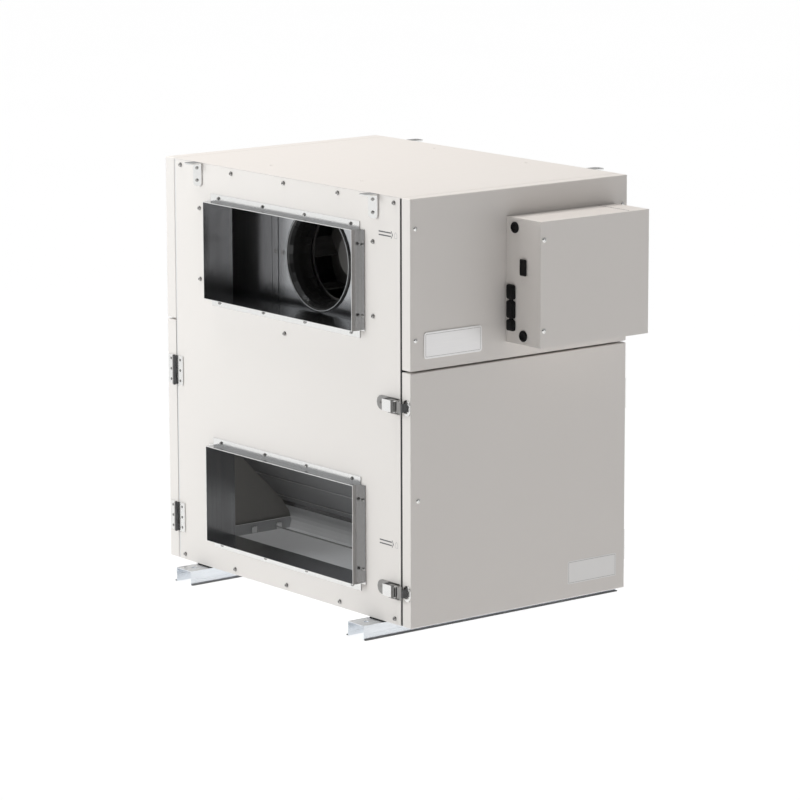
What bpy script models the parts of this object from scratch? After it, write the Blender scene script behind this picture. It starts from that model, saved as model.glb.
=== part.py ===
# Heat recovery ventilator, floor standing, with two duct ports on each end.
# Metres, +Z up. The near duct end faces -X and the control box faces -Y.
# Pieces are placed from the cabinet's middle in plan and from its underside.
# The far end is the near end turned half a turn about the cabinet's middle.

import math

import bmesh
import bpy
from mathutils import Matrix, Vector

# Clearances
GAP = 0.0003
THROUGH = 0.010
MERGE = 0.00001

# Cabinet
DEPTH = 0.564
BREADTH = 0.764
HEIGHT = 0.864
WALL = 0.027
SKIN = 0.0012
SEAL = 0.005
SEAL_MARGIN = 0.001
FRONT_PANEL = 0.028
BACK_PANEL = 0.032
PANEL_BEVEL = 0.0012
SEAM = 0.004
SEAM_UNDER_DECK = 0.006
SILL_HEIGHT = 0.023
SILL_SHEET = 0.005

# Duct collars
PORT_LENGTH = 0.508
PORT_HEIGHT = 0.2048
UPPER_PORT_DROP = 0.179
LOWER_PORT_Z = 0.166
COLLAR_OUT = 0.022
COLLAR_IN = 0.052
COLLAR_SHEET = 0.0012
COLLAR_FLANGE = 0.0155

# Hanging brackets
BRACKET_Y = 0.2995
BRACKET_WIDTH = 0.029
BRACKET_DROP = 0.050
BRACKET_REACH = 0.029
BRACKET_SHEET = 0.003
BRACKET_CORNER = 0.008
BRACKET_HOLE_R = 0.0045
BRACKET_HOLE_OUT = 0.018

# Floor rails
RAIL_HEIGHT = 0.032
FRONT_RAIL_Y = -0.3025
BACK_RAIL_Y = 0.2965
RAIL_WEB = 0.054
RAIL_LIP = 0.005
RAIL_SHEET = 0.002
RAIL_SEAT = 0.0020
RAIL_OUT = 0.052
RAIL_HOLE_R = 0.006
RAIL_HOLE_OUT = 0.026

# Control box
BOX_DEPTH = 0.1065
BOX_WIDTH = 0.285
BOX_HEIGHT = 0.2535
BOX_X = 0.1045
BOX_DROP = 0.18225
BOX_SHEET = 0.0015
COVER_RIM = 0.008
GROMMET_R = 0.0115
GROMMET_OUT = 0.0042
GROMMET_RIM = 0.0052
UPPER_GROMMET_OUT = 0.0275
UPPER_GROMMET_DROP = 0.0195
LOWER_GROMMET_OUT = 0.0545
LOWER_GROMMET_LIFT = 0.018
SOCKET_FROM_PANEL = 0.0555
SOCKET_RISE = 0.02975
SOCKET_WIDTH = 0.018
SOCKET_HEIGHT = 0.033
SOCKET_OUT = 0.005
STRIP_FROM_PANEL = 0.01775
STRIP_RISE = -0.0555
STRIP_WIDTH = 0.0235
STRIP_HEIGHT = 0.0935
STRIP_OUT = 0.006
STRIP_GROOVE = 0.002
STRIP_GROOVE_RISES = (-0.02325, 0.01475)
PLATE_X = -0.1755
PLATE_OVER_SEAM = 0.0505
PLATE_WIDTH = 0.147
PLATE_HEIGHT = 0.053
PLATE_CORNER = 0.006
PLATE_THICK = 0.0015

# Door hinges
HINGE_HEIGHT = 0.0628
UPPER_HINGE_DROP = 0.1084
LOWER_HINGE_Z = 0.0912
HINGE_LEAF = 0.002
HINGE_PIN_R = 0.0025
HINGE_PIN_END = 0.0012
HINGE_BARREL_R = 0.0046
HINGE_FIXED_WIDTH = 0.027
HINGE_DOOR_WIDTH = 0.024
HINGE_KNUCKLES = 5

# Draw latches
UPPER_LATCH_DROP = 0.072
LOWER_LATCH_Z = 0.070
LATCH_SHEET = 0.0015
LATCH_PIN_R = 0.0015
LATCH_RUN = 0.0004
LATCH_BASE_LENGTH = 0.070
LATCH_BASE_WIDTH = 0.030
LATCH_BASE_INSET = 0.0035
LATCH_PIVOT_BACK = 0.0045
LATCH_PIVOT_OUT = 0.0078
LATCH_EAR_R = 0.0030
LATCH_LEVER_OUT = 0.0140
LATCH_LEVER_WIDTH = 0.024
LATCH_LEVER_LENGTH = 0.0335
LATCH_LEVER_TOE = -0.0013
LATCH_LEVER_LIFT = 0.0015
LATCH_LEVER_ROUND_FROM = math.radians(200)
LATCH_LEVER_ROUND = math.radians(160)
LATCH_BEAD_R = 0.0009
LATCH_HOOK_PIN_BACK = 0.0130
LATCH_HOOK_PIN_OUT = 0.0020
LATCH_HOOK_SHEET = 0.0016
LATCH_HOOK_DEPTH = 0.0056
LATCH_HOOK_CROSS = 0.013
HOOK_TO_LIP = 0.0012
KEEPER_LENGTH = 0.020
KEEPER_WIDTH = 0.033
KEEPER_CORNER = 0.0095
KEEPER_INSET = 0.007
KEEPER_LIP_BACK = 0.005
KEEPER_LIP_HEIGHT = 0.0078
KEEPER_LIP_WIDTH = 0.017
KEEPER_LIP_SHEET = 0.0018
KEEPER_ROLL_R = 0.0022

# Fan sections
DECK_UNDER_PORT = 0.110
DECK_THICK = 0.050
PASSAGE_MARGIN = 0.060
DIVIDER_SHEET = 0.003
BULKHEAD_IN = 0.088
BULKHEAD_SHEET = 0.002
RING_LIP_R = 0.1095
RING_LIP_THICK = 0.003
RING_THROAT_R = 0.090
RING_SHEET = 0.004
RING_DEPTH = 0.050
RING_SEAT = 0.0085
RING_STEPS = 5
WHEEL_R = 0.112
WHEEL_EYE_R = 0.088
WHEEL_WIDTH = 0.066
WHEEL_SHEET = 0.003
WHEEL_CONE = 0.006
WHEEL_BLADES = 7
BLADE_SHEET = 0.0024
BLADE_ROOT_R = 0.087
BLADE_START = math.radians(-6.5)
BLADE_SWEEP = math.radians(20)
BLADE_STEPS = 3
FAN_RUN = 0.006
HUB_R = 0.050
HUB_DEPTH = 0.034
HUB_SHEET = 0.006
SPINDLE_R = 0.006
MOTOR_R = 0.040
MOTOR_FLANGE_R = 0.052
MOTOR_PLATE = 0.004
MOTOR_ARM_WIDTH = 0.028
MOTOR_LEG_SHEET = 0.004
MOTOR_LEG_CLEAR = 0.022

# Exchanger core
CORE_LOW_Z = 0.080
CORE_TOP_CLEAR = 0.0236
CORE_SIDE_CLEAR = 0.044
CORE_END_GAP = 0.003
CORE_RIB = 0.0015
CORE_RIB_WIDTH = 0.0025
CORE_RIB_SHARES = (0.125, 0.395, 0.605, 0.875)
CORE_SEAT = 0.012
REST_FOOT = 0.005
REST_BULGE = 0.010
REST_SHEET = 0.005
REST_STEPS = 6

# Smoothness
WIDE_ROUND = 32
WHEEL_ROUND = 28
MIDDLE_ROUND = 16
BARREL_ROUND = 10
PIN_ROUND = 8
LATCH_ROUND = 6
CORNER_STEPS = 3
SHARP_EDGE = math.radians(35)

# Worked out
HALF_X = DEPTH / 2
HALF_Y = BREADTH / 2
INSIDE_X = HALF_X - WALL
OUT_FACE = -HALF_X - GAP
PANEL_BACK = -HALF_Y - SEAL
PANEL_FACE = PANEL_BACK - FRONT_PANEL
CABINET_Y = (BOX_DEPTH + FRONT_PANEL - BACK_PANEL) / 2
UPPER_PORT_Z = HEIGHT - UPPER_PORT_DROP
DECK_TOP = UPPER_PORT_Z - DECK_UNDER_PORT
DECK_LOW = DECK_TOP - DECK_THICK
SEAM_Z = DECK_LOW - SEAM_UNDER_DECK
SEAM_TOP = SEAM_Z + SEAM / 2
SEAM_LOW = SEAM_Z - SEAM / 2
HINGE_ZS = (("upper", SEAM_Z - UPPER_HINGE_DROP), ("lower", LOWER_HINGE_Z))
LATCH_ZS = (("upper", SEAM_Z - UPPER_LATCH_DROP), ("lower", LOWER_LATCH_Z))
DIAGONAL = min(INSIDE_X - CORE_SIDE_CLEAR, (DECK_LOW - CORE_TOP_CLEAR - CORE_LOW_Z) / 2)
CORE_SIDE = DIAGONAL * math.sqrt(2)
CORE_LENGTH = BREADTH - 2 * CORE_END_GAP
CORE_Z = CORE_LOW_Z + DIAGONAL
HINGE_AXIS_X = OUT_FACE - HINGE_BARREL_R
HINGE_AXIS_Y = HALF_Y + SEAL + HINGE_PIN_R
BULKHEAD_X = -HALF_X + BULKHEAD_IN
RING_FACE = BULKHEAD_X - GAP
RING_BACK = RING_FACE - RING_LIP_THICK + RING_DEPTH
WHEEL_START = RING_BACK + FAN_RUN
BOX_LEFT = BOX_X - BOX_WIDTH / 2
BOX_RIGHT = BOX_X + BOX_WIDTH / 2
BOX_Z = HEIGHT - BOX_DROP
BOX_LOW = BOX_Z - BOX_HEIGHT / 2
BOX_HIGH = BOX_Z + BOX_HEIGHT / 2
BOX_FACE = PANEL_FACE - BOX_DEPTH
BOX_SIDE = BOX_LEFT - GAP
STRIP_Y = PANEL_FACE - STRIP_FROM_PANEL
STRIP_Z = BOX_Z + STRIP_RISE
PLATE_Z = SEAM_Z + PLATE_OVER_SEAM
LATCH_TOP = OUT_FACE - LATCH_SHEET
LATCH_PIVOT_X = -HALF_X - LATCH_PIVOT_OUT
LATCH_PIVOT_Y = -HALF_Y + LATCH_BASE_INSET + LATCH_PIVOT_BACK
LATCH_HOOK_PIN_X = LATCH_PIVOT_X - LATCH_HOOK_PIN_OUT
LATCH_HOOK_PIN_Y = LATCH_PIVOT_Y + LATCH_HOOK_PIN_BACK
LATCH_LEVER_HALF = LATCH_LEVER_WIDTH / 2
HOOK_ARM_LOW = LATCH_LEVER_HALF + LATCH_RUN
HOOK_ARM_HIGH = HOOK_ARM_LOW + LATCH_HOOK_SHEET
KEEPER_BACK = PANEL_BACK - KEEPER_INSET
KEEPER_LIP_Y = KEEPER_BACK - KEEPER_LIP_BACK
HOOK_TIP_Y = KEEPER_LIP_Y + KEEPER_LIP_SHEET + HOOK_TO_LIP
FACING = {"X": (math.pi / 2, 0.0, math.pi / 2), "Y": (math.pi / 2, 0.0, 0.0), "Z": (0.0, 0.0, 0.0)}
TURNING = {"X": (0.0, math.pi / 2, 0.0), "Z": (0.0, 0.0, 0.0)}


for old in list(bpy.data.objects):
    bpy.data.objects.remove(old, do_unlink=True)

PARTS = bpy.data.collections.new("heat_recovery_ventilator")
CUTTERS = bpy.data.collections.new("cutters")
bpy.context.scene.collection.children.link(PARTS)
bpy.context.scene.collection.children.link(CUTTERS)


def material(name, colour, metallic, roughness):
    made = bpy.data.materials.new(name)
    made.use_nodes = True
    shader = made.node_tree.nodes["Principled BSDF"]
    shader.inputs["Base Color"].default_value = (*colour, 1.0)
    shader.inputs["Metallic"].default_value = metallic
    shader.inputs["Roughness"].default_value = roughness
    made.diffuse_color = (*colour, 1.0)
    return made


PAINT = material("painted_steel", (0.80, 0.79, 0.77), 0.0, 0.45)
GALVANIZED = material("galvanized_steel", (0.62, 0.64, 0.66), 1.0, 0.38)
BRIGHT = material("bright_steel", (0.78, 0.77, 0.75), 1.0, 0.25)
ALUMINIUM = material("aluminium_core", (0.55, 0.56, 0.57), 1.0, 0.42)
RUBBER = material("seal_rubber", (0.025, 0.025, 0.027), 0.0, 0.8)
BLACK = material("black_plastic", (0.02, 0.02, 0.022), 0.0, 0.35)
SILVER = material("silver_plate", (0.80, 0.80, 0.80), 0.3, 0.35)


# Empties
def end_frame(name, turn):
    empty = bpy.data.objects.new(name, None)
    empty.location = (0.0, CABINET_Y, RAIL_HEIGHT)
    empty.rotation_euler = (0.0, 0.0, turn)
    PARTS.objects.link(empty)
    return empty


NEAR = end_frame("near_end", 0.0)
FAR = end_frame("far_end", math.pi)


def pivot(name, point, end, *pieces):
    # The pieces keep their places and take the empty as their parent.
    empty = bpy.data.objects.new(name, None)
    empty.empty_display_size = 0.02
    empty.parent = end
    empty.location = point
    PARTS.objects.link(empty)
    bpy.context.view_layer.update()
    for piece in pieces:
        frame = piece.parent.matrix_world.copy()
        piece.parent = empty
        piece.matrix_parent_inverse = empty.matrix_world.inverted() @ frame
    return empty


# Shapes
def place(name, mesh, stuff, end, at=(0.0, 0.0, 0.0), turn=(0.0, 0.0, 0.0)):
    # A piece without a material is a cutter or a form that is joined to another.
    piece = bpy.data.objects.new(name, mesh)
    piece.location = at
    piece.rotation_euler = turn
    piece.parent = end
    if stuff is None:
        CUTTERS.objects.link(piece)
        piece.hide_render = True
        piece.display_type = "WIRE"
    else:
        mesh.materials.append(stuff)
        PARTS.objects.link(piece)
    return piece


def cube_work(low, high):
    work = bmesh.new()
    bmesh.ops.create_cube(work, size=1.0)
    bmesh.ops.scale(work, vec=[b - a for a, b in zip(low, high)], verts=work.verts)
    return work, [(a + b) / 2 for a, b in zip(low, high)]


def to_mesh(name, work):
    mesh = bpy.data.meshes.new(name)
    work.to_mesh(mesh)
    work.free()
    return mesh


def box(name, low, high, stuff=None, end=NEAR):
    work, middle = cube_work(low, high)
    return place(name, to_mesh(name, work), stuff, end, middle)


def open_box(name, low, high, open_side, sheet, stuff):
    work, middle = cube_work(low, high)
    work.normal_update()
    lid = max(work.faces, key=lambda face: face.normal.dot(Vector(open_side)))
    bmesh.ops.delete(work, geom=[lid], context="FACES_ONLY")
    piece = place(name, to_mesh(name, work), stuff, NEAR, middle)
    thicken(piece, sheet)
    return piece


def rod(name, radius, axis, centre, low, high, end=NEAR, segments=PIN_ROUND):
    work = bmesh.new()
    bmesh.ops.create_cone(
        work, cap_ends=True, segments=segments, radius1=radius, radius2=radius, depth=high - low
    )
    for face in work.faces:
        face.smooth = len(face.verts) == 4
    middle = on_axis(axis, centre, (low + high) / 2)
    return place(name, to_mesh(name, work), None, end, middle, TURNING[axis])


def on_axis(axis, centre, along):
    a, b = centre
    return {"X": (along, a, b), "Y": (a, along, b), "Z": (a, b, along)}[axis]


def turned(name, profile, centre, stuff=None, end=NEAR, steps=WIDE_ROUND, closed=False):
    # Points are (radius, x) and run down the outer side of a shape turned about an X line.
    work = bmesh.new()
    points = [work.verts.new((radius, 0.0, along)) for radius, along in profile]
    pairs = list(zip(points, points[1:]))
    if closed:
        pairs.append((points[-1], points[0]))
    for pair in pairs:
        work.edges.new(pair)
    piece = place(name, to_mesh(name, work), stuff, end, on_axis("X", centre, 0.0), TURNING["X"])
    screw = piece.modifiers.new("turn", "SCREW")
    screw.steps = steps
    screw.render_steps = steps
    screw.use_merge_vertices = True
    screw.merge_threshold = MERGE
    return piece


def flat(name, outline, axis, low, high, stuff=None, end=NEAR):
    # The outline is given in the two directions across the axis.
    curve = bpy.data.curves.new(name, "CURVE")
    curve.dimensions = "2D"
    curve.fill_mode = "BOTH"
    curve.extrude = (high - low) / 2
    spline = curve.splines.new("POLY")
    spline.points.add(len(outline) - 1)
    for point, (a, b) in zip(spline.points, outline):
        point.co = (a, b, 0.0, 1.0)
    spline.use_cyclic_u = True
    drawn = bpy.data.objects.new(name, curve)
    CUTTERS.objects.link(drawn)
    graph = bpy.context.evaluated_depsgraph_get()
    mesh = bpy.data.meshes.new_from_object(drawn.evaluated_get(graph))
    bpy.data.objects.remove(drawn)
    work = bmesh.new()
    work.from_mesh(mesh)
    bpy.data.meshes.remove(mesh)
    bmesh.ops.remove_doubles(work, verts=work.verts, dist=MERGE)
    bmesh.ops.recalc_face_normals(work, faces=work.faces)
    middle = on_axis(axis, (0.0, 0.0), (low + high) / 2)
    return place(name, to_mesh(name, work), stuff, end, middle, FACING[axis])


def rounded(low, high, radius, corners="1111", steps=CORNER_STEPS):
    # Corners run low low, high low, high high, low high; "1" rounds one and "0" leaves it square.
    reach = min(radius, (high[0] - low[0]) / 2, (high[1] - low[1]) / 2)
    signs = ((-1, -1), (1, -1), (1, 1), (-1, 1))
    points = []
    for index, (a, b) in enumerate(signs):
        corner = (high[0] if a > 0 else low[0], high[1] if b > 0 else low[1])
        if corners[index] == "0":
            points.append(corner)
            continue
        start = math.pi + index * math.pi / 2
        centre = (corner[0] - a * reach, corner[1] - b * reach)
        for step in range(steps + 1):
            turn = start + math.pi / 2 * step / steps
            points.append((centre[0] + reach * math.cos(turn), centre[1] + reach * math.sin(turn)))
    return points


# Changes
def combine(piece, operation, tools):
    for tool in tools:
        change = piece.modifiers.new(tool.name, "BOOLEAN")
        change.operation = operation
        change.solver = "EXACT"
        change.object = tool


def cut(piece, *tools):
    combine(piece, "DIFFERENCE", tools)


def add(piece, *tools):
    combine(piece, "UNION", tools)


def thicken(piece, sheet):
    shell = piece.modifiers.new("sheet", "SOLIDIFY")
    shell.thickness = sheet
    shell.offset = -1.0
    shell.use_even_offset = True


def soften(piece, width):
    edge = piece.modifiers.new("soft_edges", "BEVEL")
    edge.width = width
    edge.segments = 1
    edge.limit_method = "ANGLE"
    edge.angle_limit = SHARP_EDGE


# Cabinet
def end_panel(side, end):
    panel = box(
        f"end_panel_{side}",
        (-HALF_X, -HALF_Y, 0.0),
        (-INSIDE_X, HALF_Y, HEIGHT - SKIN - GAP),
        PAINT,
        end,
    )
    for level, middle in (("upper", UPPER_PORT_Z), ("lower", LOWER_PORT_Z)):
        reach_y = PORT_LENGTH / 2 + GAP
        reach_z = PORT_HEIGHT / 2 + GAP
        cut(
            panel,
            box(
                f"port_{side}_{level}",
                (-HALF_X - THROUGH, -reach_y, middle - reach_z),
                (-INSIDE_X + THROUGH, reach_y, middle + reach_z),
                end=end,
            ),
        )
    add(panel, core_ledge(side, end))
    return panel


def core_ledge(side, end):
    tip = -DIAGONAL - 2 * GAP
    root = -INSIDE_X - WALL / 2
    outline = [
        (root, CORE_Z - CORE_SEAT),
        (tip + CORE_SEAT, CORE_Z - CORE_SEAT),
        (tip, CORE_Z),
        (tip + CORE_SEAT, CORE_Z + CORE_SEAT),
        (root, CORE_Z + CORE_SEAT),
    ]
    return flat(f"core_ledge_{side}", outline, "Y", -CORE_LENGTH / 2, CORE_LENGTH / 2, end=end)


def top_panel():
    slab = INSIDE_X - GAP
    panel = box("top_panel", (-slab, -HALF_Y, HEIGHT - WALL), (slab, HALF_Y, HEIGHT - SKIN / 2), PAINT)
    add(panel, box("top_skin", (-HALF_X, -HALF_Y, HEIGHT - SKIN), (HALF_X, HALF_Y, HEIGHT)))
    return panel


def base_panel():
    slab = INSIDE_X - GAP
    base = box("base_panel", (-slab, -HALF_Y, 0.0), (slab, HALF_Y, WALL), PAINT)
    sunk = WALL - GAP
    for tag, end in (("front", NEAR), ("back", FAR)):
        sill = box(
            f"sill_{tag}",
            (-slab, -HALF_Y, sunk),
            (slab, -HALF_Y + SILL_SHEET, WALL + SILL_HEIGHT),
            end=end,
        )
        add(base, sill)
    add(base, core_rest(sunk))
    return base


def core_rest(foot_z):
    # A sheet bowed along the core, with a trough on top for the core's lower edge.
    top_z = CORE_LOW_Z - 2 * GAP
    near_side = []
    far_side = []
    for step in range(REST_STEPS + 1):
        share = step / REST_STEPS
        bow = REST_FOOT * (1 - share) + REST_BULGE * math.sin(math.pi * share)
        z = foot_z + (top_z - foot_z) * share
        near_side.append((bow - REST_SHEET * share, z))
        far_side.append((bow + REST_SHEET, z))
    trough = [(-CORE_SEAT, top_z + CORE_SEAT), (0.0, top_z), (CORE_SEAT, top_z + CORE_SEAT)]
    reach = HALF_Y - SILL_SHEET / 2
    return flat("core_rest", near_side + trough + far_side[::-1], "Y", -reach, reach)


def door_seal(side, end):
    low_z = SEAL_MARGIN
    high_z = HEIGHT - SEAL_MARGIN
    reach = HALF_X - SEAL_MARGIN
    seal = box(
        f"seal_{side}",
        (-reach, PANEL_BACK + GAP, low_z),
        (reach, -HALF_Y - GAP, high_z),
        RUBBER,
        end,
    )
    for tag, low, high in (("lower", WALL, DECK_LOW), ("upper", DECK_TOP, HEIGHT - WALL)):
        cut(
            seal,
            box(
                f"seal_{side}_{tag}",
                (-INSIDE_X, PANEL_BACK - THROUGH, low),
                (INSIDE_X, -HALF_Y + THROUGH, high),
                end=end,
            ),
        )
    return seal


def flat_panel(name, thick, low_z, high_z, end):
    panel = box(name, (-HALF_X, PANEL_BACK - thick, low_z), (HALF_X, PANEL_BACK, high_z), PAINT, end)
    soften(panel, PANEL_BEVEL)
    return panel


# Duct collars: sleeve through the end panel, flanges with open corners.
def duct_collar(side, level, middle, end):
    name = f"duct_collar_{side}_{level}"
    half_y = PORT_LENGTH / 2
    half_z = PORT_HEIGHT / 2
    sleeve = box(
        name,
        (-HALF_X - COLLAR_OUT, -half_y, middle - half_z),
        (-HALF_X + COLLAR_IN, half_y, middle + half_z),
        GALVANIZED,
        end,
    )
    level_flange = box(
        f"{name}_level_flange",
        (OUT_FACE - COLLAR_SHEET, -half_y, middle - half_z - COLLAR_FLANGE),
        (OUT_FACE, half_y, middle + half_z + COLLAR_FLANGE),
        end=end,
    )
    upright_flange = box(
        f"{name}_upright_flange",
        (OUT_FACE - COLLAR_SHEET, -half_y - COLLAR_FLANGE, middle - half_z),
        (OUT_FACE, half_y + COLLAR_FLANGE, middle + half_z),
        end=end,
    )
    bore = box(
        f"{name}_bore",
        (-HALF_X - COLLAR_OUT - THROUGH, -half_y + COLLAR_SHEET, middle - half_z + COLLAR_SHEET),
        (-HALF_X + COLLAR_IN + THROUGH, half_y - COLLAR_SHEET, middle + half_z - COLLAR_SHEET),
        end=end,
    )
    add(sleeve, level_flange, upright_flange)
    cut(sleeve, bore)
    return sleeve


def hanging_bracket(name, y, end):
    half = BRACKET_WIDTH / 2
    leg = flat(
        name,
        rounded((y - half, HEIGHT - BRACKET_DROP), (y + half, HEIGHT), BRACKET_CORNER, "1100"),
        "X",
        OUT_FACE - BRACKET_SHEET,
        OUT_FACE,
        BRIGHT,
        end,
    )
    arm_tip = (OUT_FACE - BRACKET_REACH, y - half)
    arm_root = (OUT_FACE - BRACKET_SHEET / 2, y + half)
    arm = flat(
        f"{name}_arm",
        rounded(arm_tip, arm_root, BRACKET_CORNER, "1001"),
        "Z",
        HEIGHT - BRACKET_SHEET,
        HEIGHT,
        end=end,
    )
    hole = rod(
        f"{name}_hole",
        BRACKET_HOLE_R,
        "Z",
        (-HALF_X - BRACKET_HOLE_OUT, y),
        HEIGHT - BRACKET_SHEET - THROUGH,
        HEIGHT + THROUGH,
        end,
        BARREL_ROUND,
    )
    add(leg, arm)
    cut(leg, hole)
    return leg


# Butt hinges: the fixed leaf carries the pin, the other leaf is on the door.
def hinge_leaf(name, near_y, far_y, low, knuckles, end):
    # The necks start inside the leaf, which makes one body of them.
    neck_y = sorted(((near_y + far_y) / 2, HINGE_AXIS_Y))
    pitch = HINGE_HEIGHT / HINGE_KNUCKLES
    leaf_x = OUT_FACE - HINGE_LEAF
    leaf = box(name, (leaf_x, near_y, low), (OUT_FACE, far_y, low + HINGE_HEIGHT), BRIGHT, end)
    for index in knuckles:
        start = low + index * pitch + GAP
        stop = start + pitch - 2 * GAP
        neck = box(f"{name}_neck_{index}", (leaf_x, neck_y[0], start), (OUT_FACE, neck_y[1], stop), end=end)
        barrel = rod(
            f"{name}_barrel_{index}",
            HINGE_BARREL_R,
            "Z",
            (HINGE_AXIS_X, HINGE_AXIS_Y),
            start,
            stop,
            end,
            BARREL_ROUND,
        )
        add(leaf, neck, barrel)
    return leaf


def butt_hinge(side, tag, middle, end):
    name = f"hinge_{side}_{tag}"
    low = middle - HINGE_HEIGHT / 2
    clear = HINGE_BARREL_R + GAP
    fixed_end = HINGE_AXIS_Y - HINGE_FIXED_WIDTH
    door_end = HINGE_AXIS_Y + HINGE_DOOR_WIDTH
    fixed_knuckles = range(0, HINGE_KNUCKLES, 2)
    door_knuckles = range(1, HINGE_KNUCKLES, 2)
    fixed = hinge_leaf(f"{name}_fixed_leaf", fixed_end, HINGE_AXIS_Y - clear, low, fixed_knuckles, end)
    moving = hinge_leaf(f"{name}_door_leaf", HINGE_AXIS_Y + clear, door_end, low, door_knuckles, end)
    axis = (HINGE_AXIS_X, HINGE_AXIS_Y)
    pin_low = low - HINGE_PIN_END
    pin_high = low + HINGE_HEIGHT + HINGE_PIN_END
    add(fixed, rod(f"{name}_pin", HINGE_PIN_R, "Z", axis, pin_low, pin_high, end))
    cut(moving, rod(f"{name}_bore", HINGE_PIN_R + GAP, "Z", axis, pin_low, pin_high, end))
    return moving


# Draw latches: base and lever on the end panel, hook on the lever, keeper on the door.
def latch_pin(name, centre, reach, radius, z, end):
    return rod(name, radius, "Z", centre, z - reach, z + reach, end, LATCH_ROUND)


def latch_base(name, z, end):
    front = -HALF_Y + LATCH_BASE_INSET
    half = LATCH_BASE_WIDTH / 2
    outline = rounded((front, z - half), (front + LATCH_BASE_LENGTH, z + half), half - GAP, "0110")
    base = flat(f"{name}_base", outline, "X", LATCH_TOP, OUT_FACE, BRIGHT, end)
    ear_tip = (LATCH_PIVOT_X - LATCH_EAR_R, LATCH_PIVOT_Y - LATCH_EAR_R)
    ear_foot = (OUT_FACE - LATCH_SHEET / 2, LATCH_PIVOT_Y + LATCH_EAR_R)
    ear_outline = rounded(ear_tip, ear_foot, LATCH_EAR_R - GAP, "1001")
    ear_high = LATCH_LEVER_HALF - LATCH_SHEET - LATCH_RUN
    for tag, low in (("low", -ear_high), ("high", ear_high - LATCH_SHEET)):
        add(base, flat(f"{name}_ear_{tag}", ear_outline, "Z", z + low, z + low + LATCH_SHEET, end=end))
    centre = (LATCH_PIVOT_X, LATCH_PIVOT_Y)
    add(base, latch_pin(f"{name}_pin", centre, LATCH_LEVER_HALF, LATCH_PIN_R, z, end))
    return base


def lever_outline():
    # The two sides end in a round about the pivot, the outer face in a rolled edge beside it.
    outer_x = -HALF_X - LATCH_LEVER_OUT
    inner_x = LATCH_TOP - LATCH_LEVER_LIFT
    back_y = LATCH_PIVOT_Y + LATCH_LEVER_LENGTH
    outline = [(inner_x, back_y), (outer_x, back_y), (outer_x, LATCH_PIVOT_Y + LATCH_LEVER_TOE)]
    radius = inner_x - LATCH_PIVOT_X
    steps = 2 * CORNER_STEPS
    for step in range(steps + 1):
        turn = LATCH_LEVER_ROUND_FROM + LATCH_LEVER_ROUND * step / steps
        outline.append((LATCH_PIVOT_X + radius * math.cos(turn), LATCH_PIVOT_Y + radius * math.sin(turn)))
    return outline


def latch_lever(name, z, end):
    outer_x = -HALF_X - LATCH_LEVER_OUT
    toe_y = LATCH_PIVOT_Y + LATCH_LEVER_TOE
    back_y = LATCH_PIVOT_Y + LATCH_LEVER_LENGTH
    half = LATCH_LEVER_HALF
    inner = half - LATCH_SHEET
    lever = flat(f"{name}_lever", lever_outline(), "Z", z - half, z + half, BRIGHT, end)
    hollow = box(
        f"{name}_hollow",
        (outer_x + LATCH_SHEET, LATCH_PIVOT_Y - THROUGH, z - inner),
        (OUT_FACE, back_y - LATCH_SHEET, z + inner),
        end=end,
    )
    bead = latch_pin(f"{name}_bead", (outer_x + LATCH_SHEET / 2, toe_y), half, LATCH_BEAD_R, z, end)
    hook_pin_centre = (LATCH_HOOK_PIN_X, LATCH_HOOK_PIN_Y)
    hook_pin = latch_pin(f"{name}_hook_pin", hook_pin_centre, HOOK_ARM_HIGH, LATCH_PIN_R, z, end)
    bore_r = LATCH_PIN_R + LATCH_RUN
    bore = latch_pin(f"{name}_lever_bore", (LATCH_PIVOT_X, LATCH_PIVOT_Y), half + THROUGH, bore_r, z, end)
    cut(lever, hollow, bore)
    add(lever, bead, hook_pin)
    return lever


def latch_hook(name, z, end):
    half_depth = LATCH_HOOK_DEPTH / 2
    half_sheet = LATCH_HOOK_SHEET / 2
    cross_back = HOOK_TIP_Y + LATCH_HOOK_CROSS
    hook = box(
        f"{name}_hook",
        (LATCH_HOOK_PIN_X - half_sheet, HOOK_TIP_Y, z - HOOK_ARM_HIGH),
        (LATCH_HOOK_PIN_X + half_sheet, cross_back, z + HOOK_ARM_HIGH),
        BRIGHT,
        end,
    )
    arm_front = (LATCH_HOOK_PIN_X - half_depth, cross_back - LATCH_HOOK_DEPTH)
    arm_back = (LATCH_HOOK_PIN_X + half_depth, LATCH_HOOK_PIN_Y + half_depth)
    arm_outline = rounded(arm_front, arm_back, half_depth - GAP, "0110")
    for tag, low in (("low", -HOOK_ARM_HIGH), ("high", HOOK_ARM_LOW)):
        add(hook, flat(f"{name}_arm_{tag}", arm_outline, "Z", z + low, z + low + LATCH_HOOK_SHEET, end=end))
    centre = (LATCH_HOOK_PIN_X, LATCH_HOOK_PIN_Y)
    bore_r = LATCH_PIN_R + LATCH_RUN
    cut(hook, latch_pin(f"{name}_hook_bore", centre, HOOK_ARM_HIGH + THROUGH, bore_r, z, end))
    return hook


def latch_keeper(name, z, end):
    half = KEEPER_WIDTH / 2
    outline = rounded((KEEPER_BACK - KEEPER_LENGTH, z - half), (KEEPER_BACK, z + half), KEEPER_CORNER)
    keeper = flat(f"{name}_keeper", outline, "X", LATCH_TOP, OUT_FACE, BRIGHT, end)
    lip_x = LATCH_TOP - KEEPER_LIP_HEIGHT
    lip_half = KEEPER_LIP_WIDTH / 2
    lip = box(
        f"{name}_lip",
        (lip_x, KEEPER_LIP_Y, z - lip_half),
        (OUT_FACE - LATCH_SHEET / 2, KEEPER_LIP_Y + KEEPER_LIP_SHEET, z + lip_half),
        end=end,
    )
    roll = latch_pin(f"{name}_lip_roll", (lip_x, KEEPER_LIP_Y), lip_half, KEEPER_ROLL_R, z, end)
    add(keeper, lip, roll)
    return keeper


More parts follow.
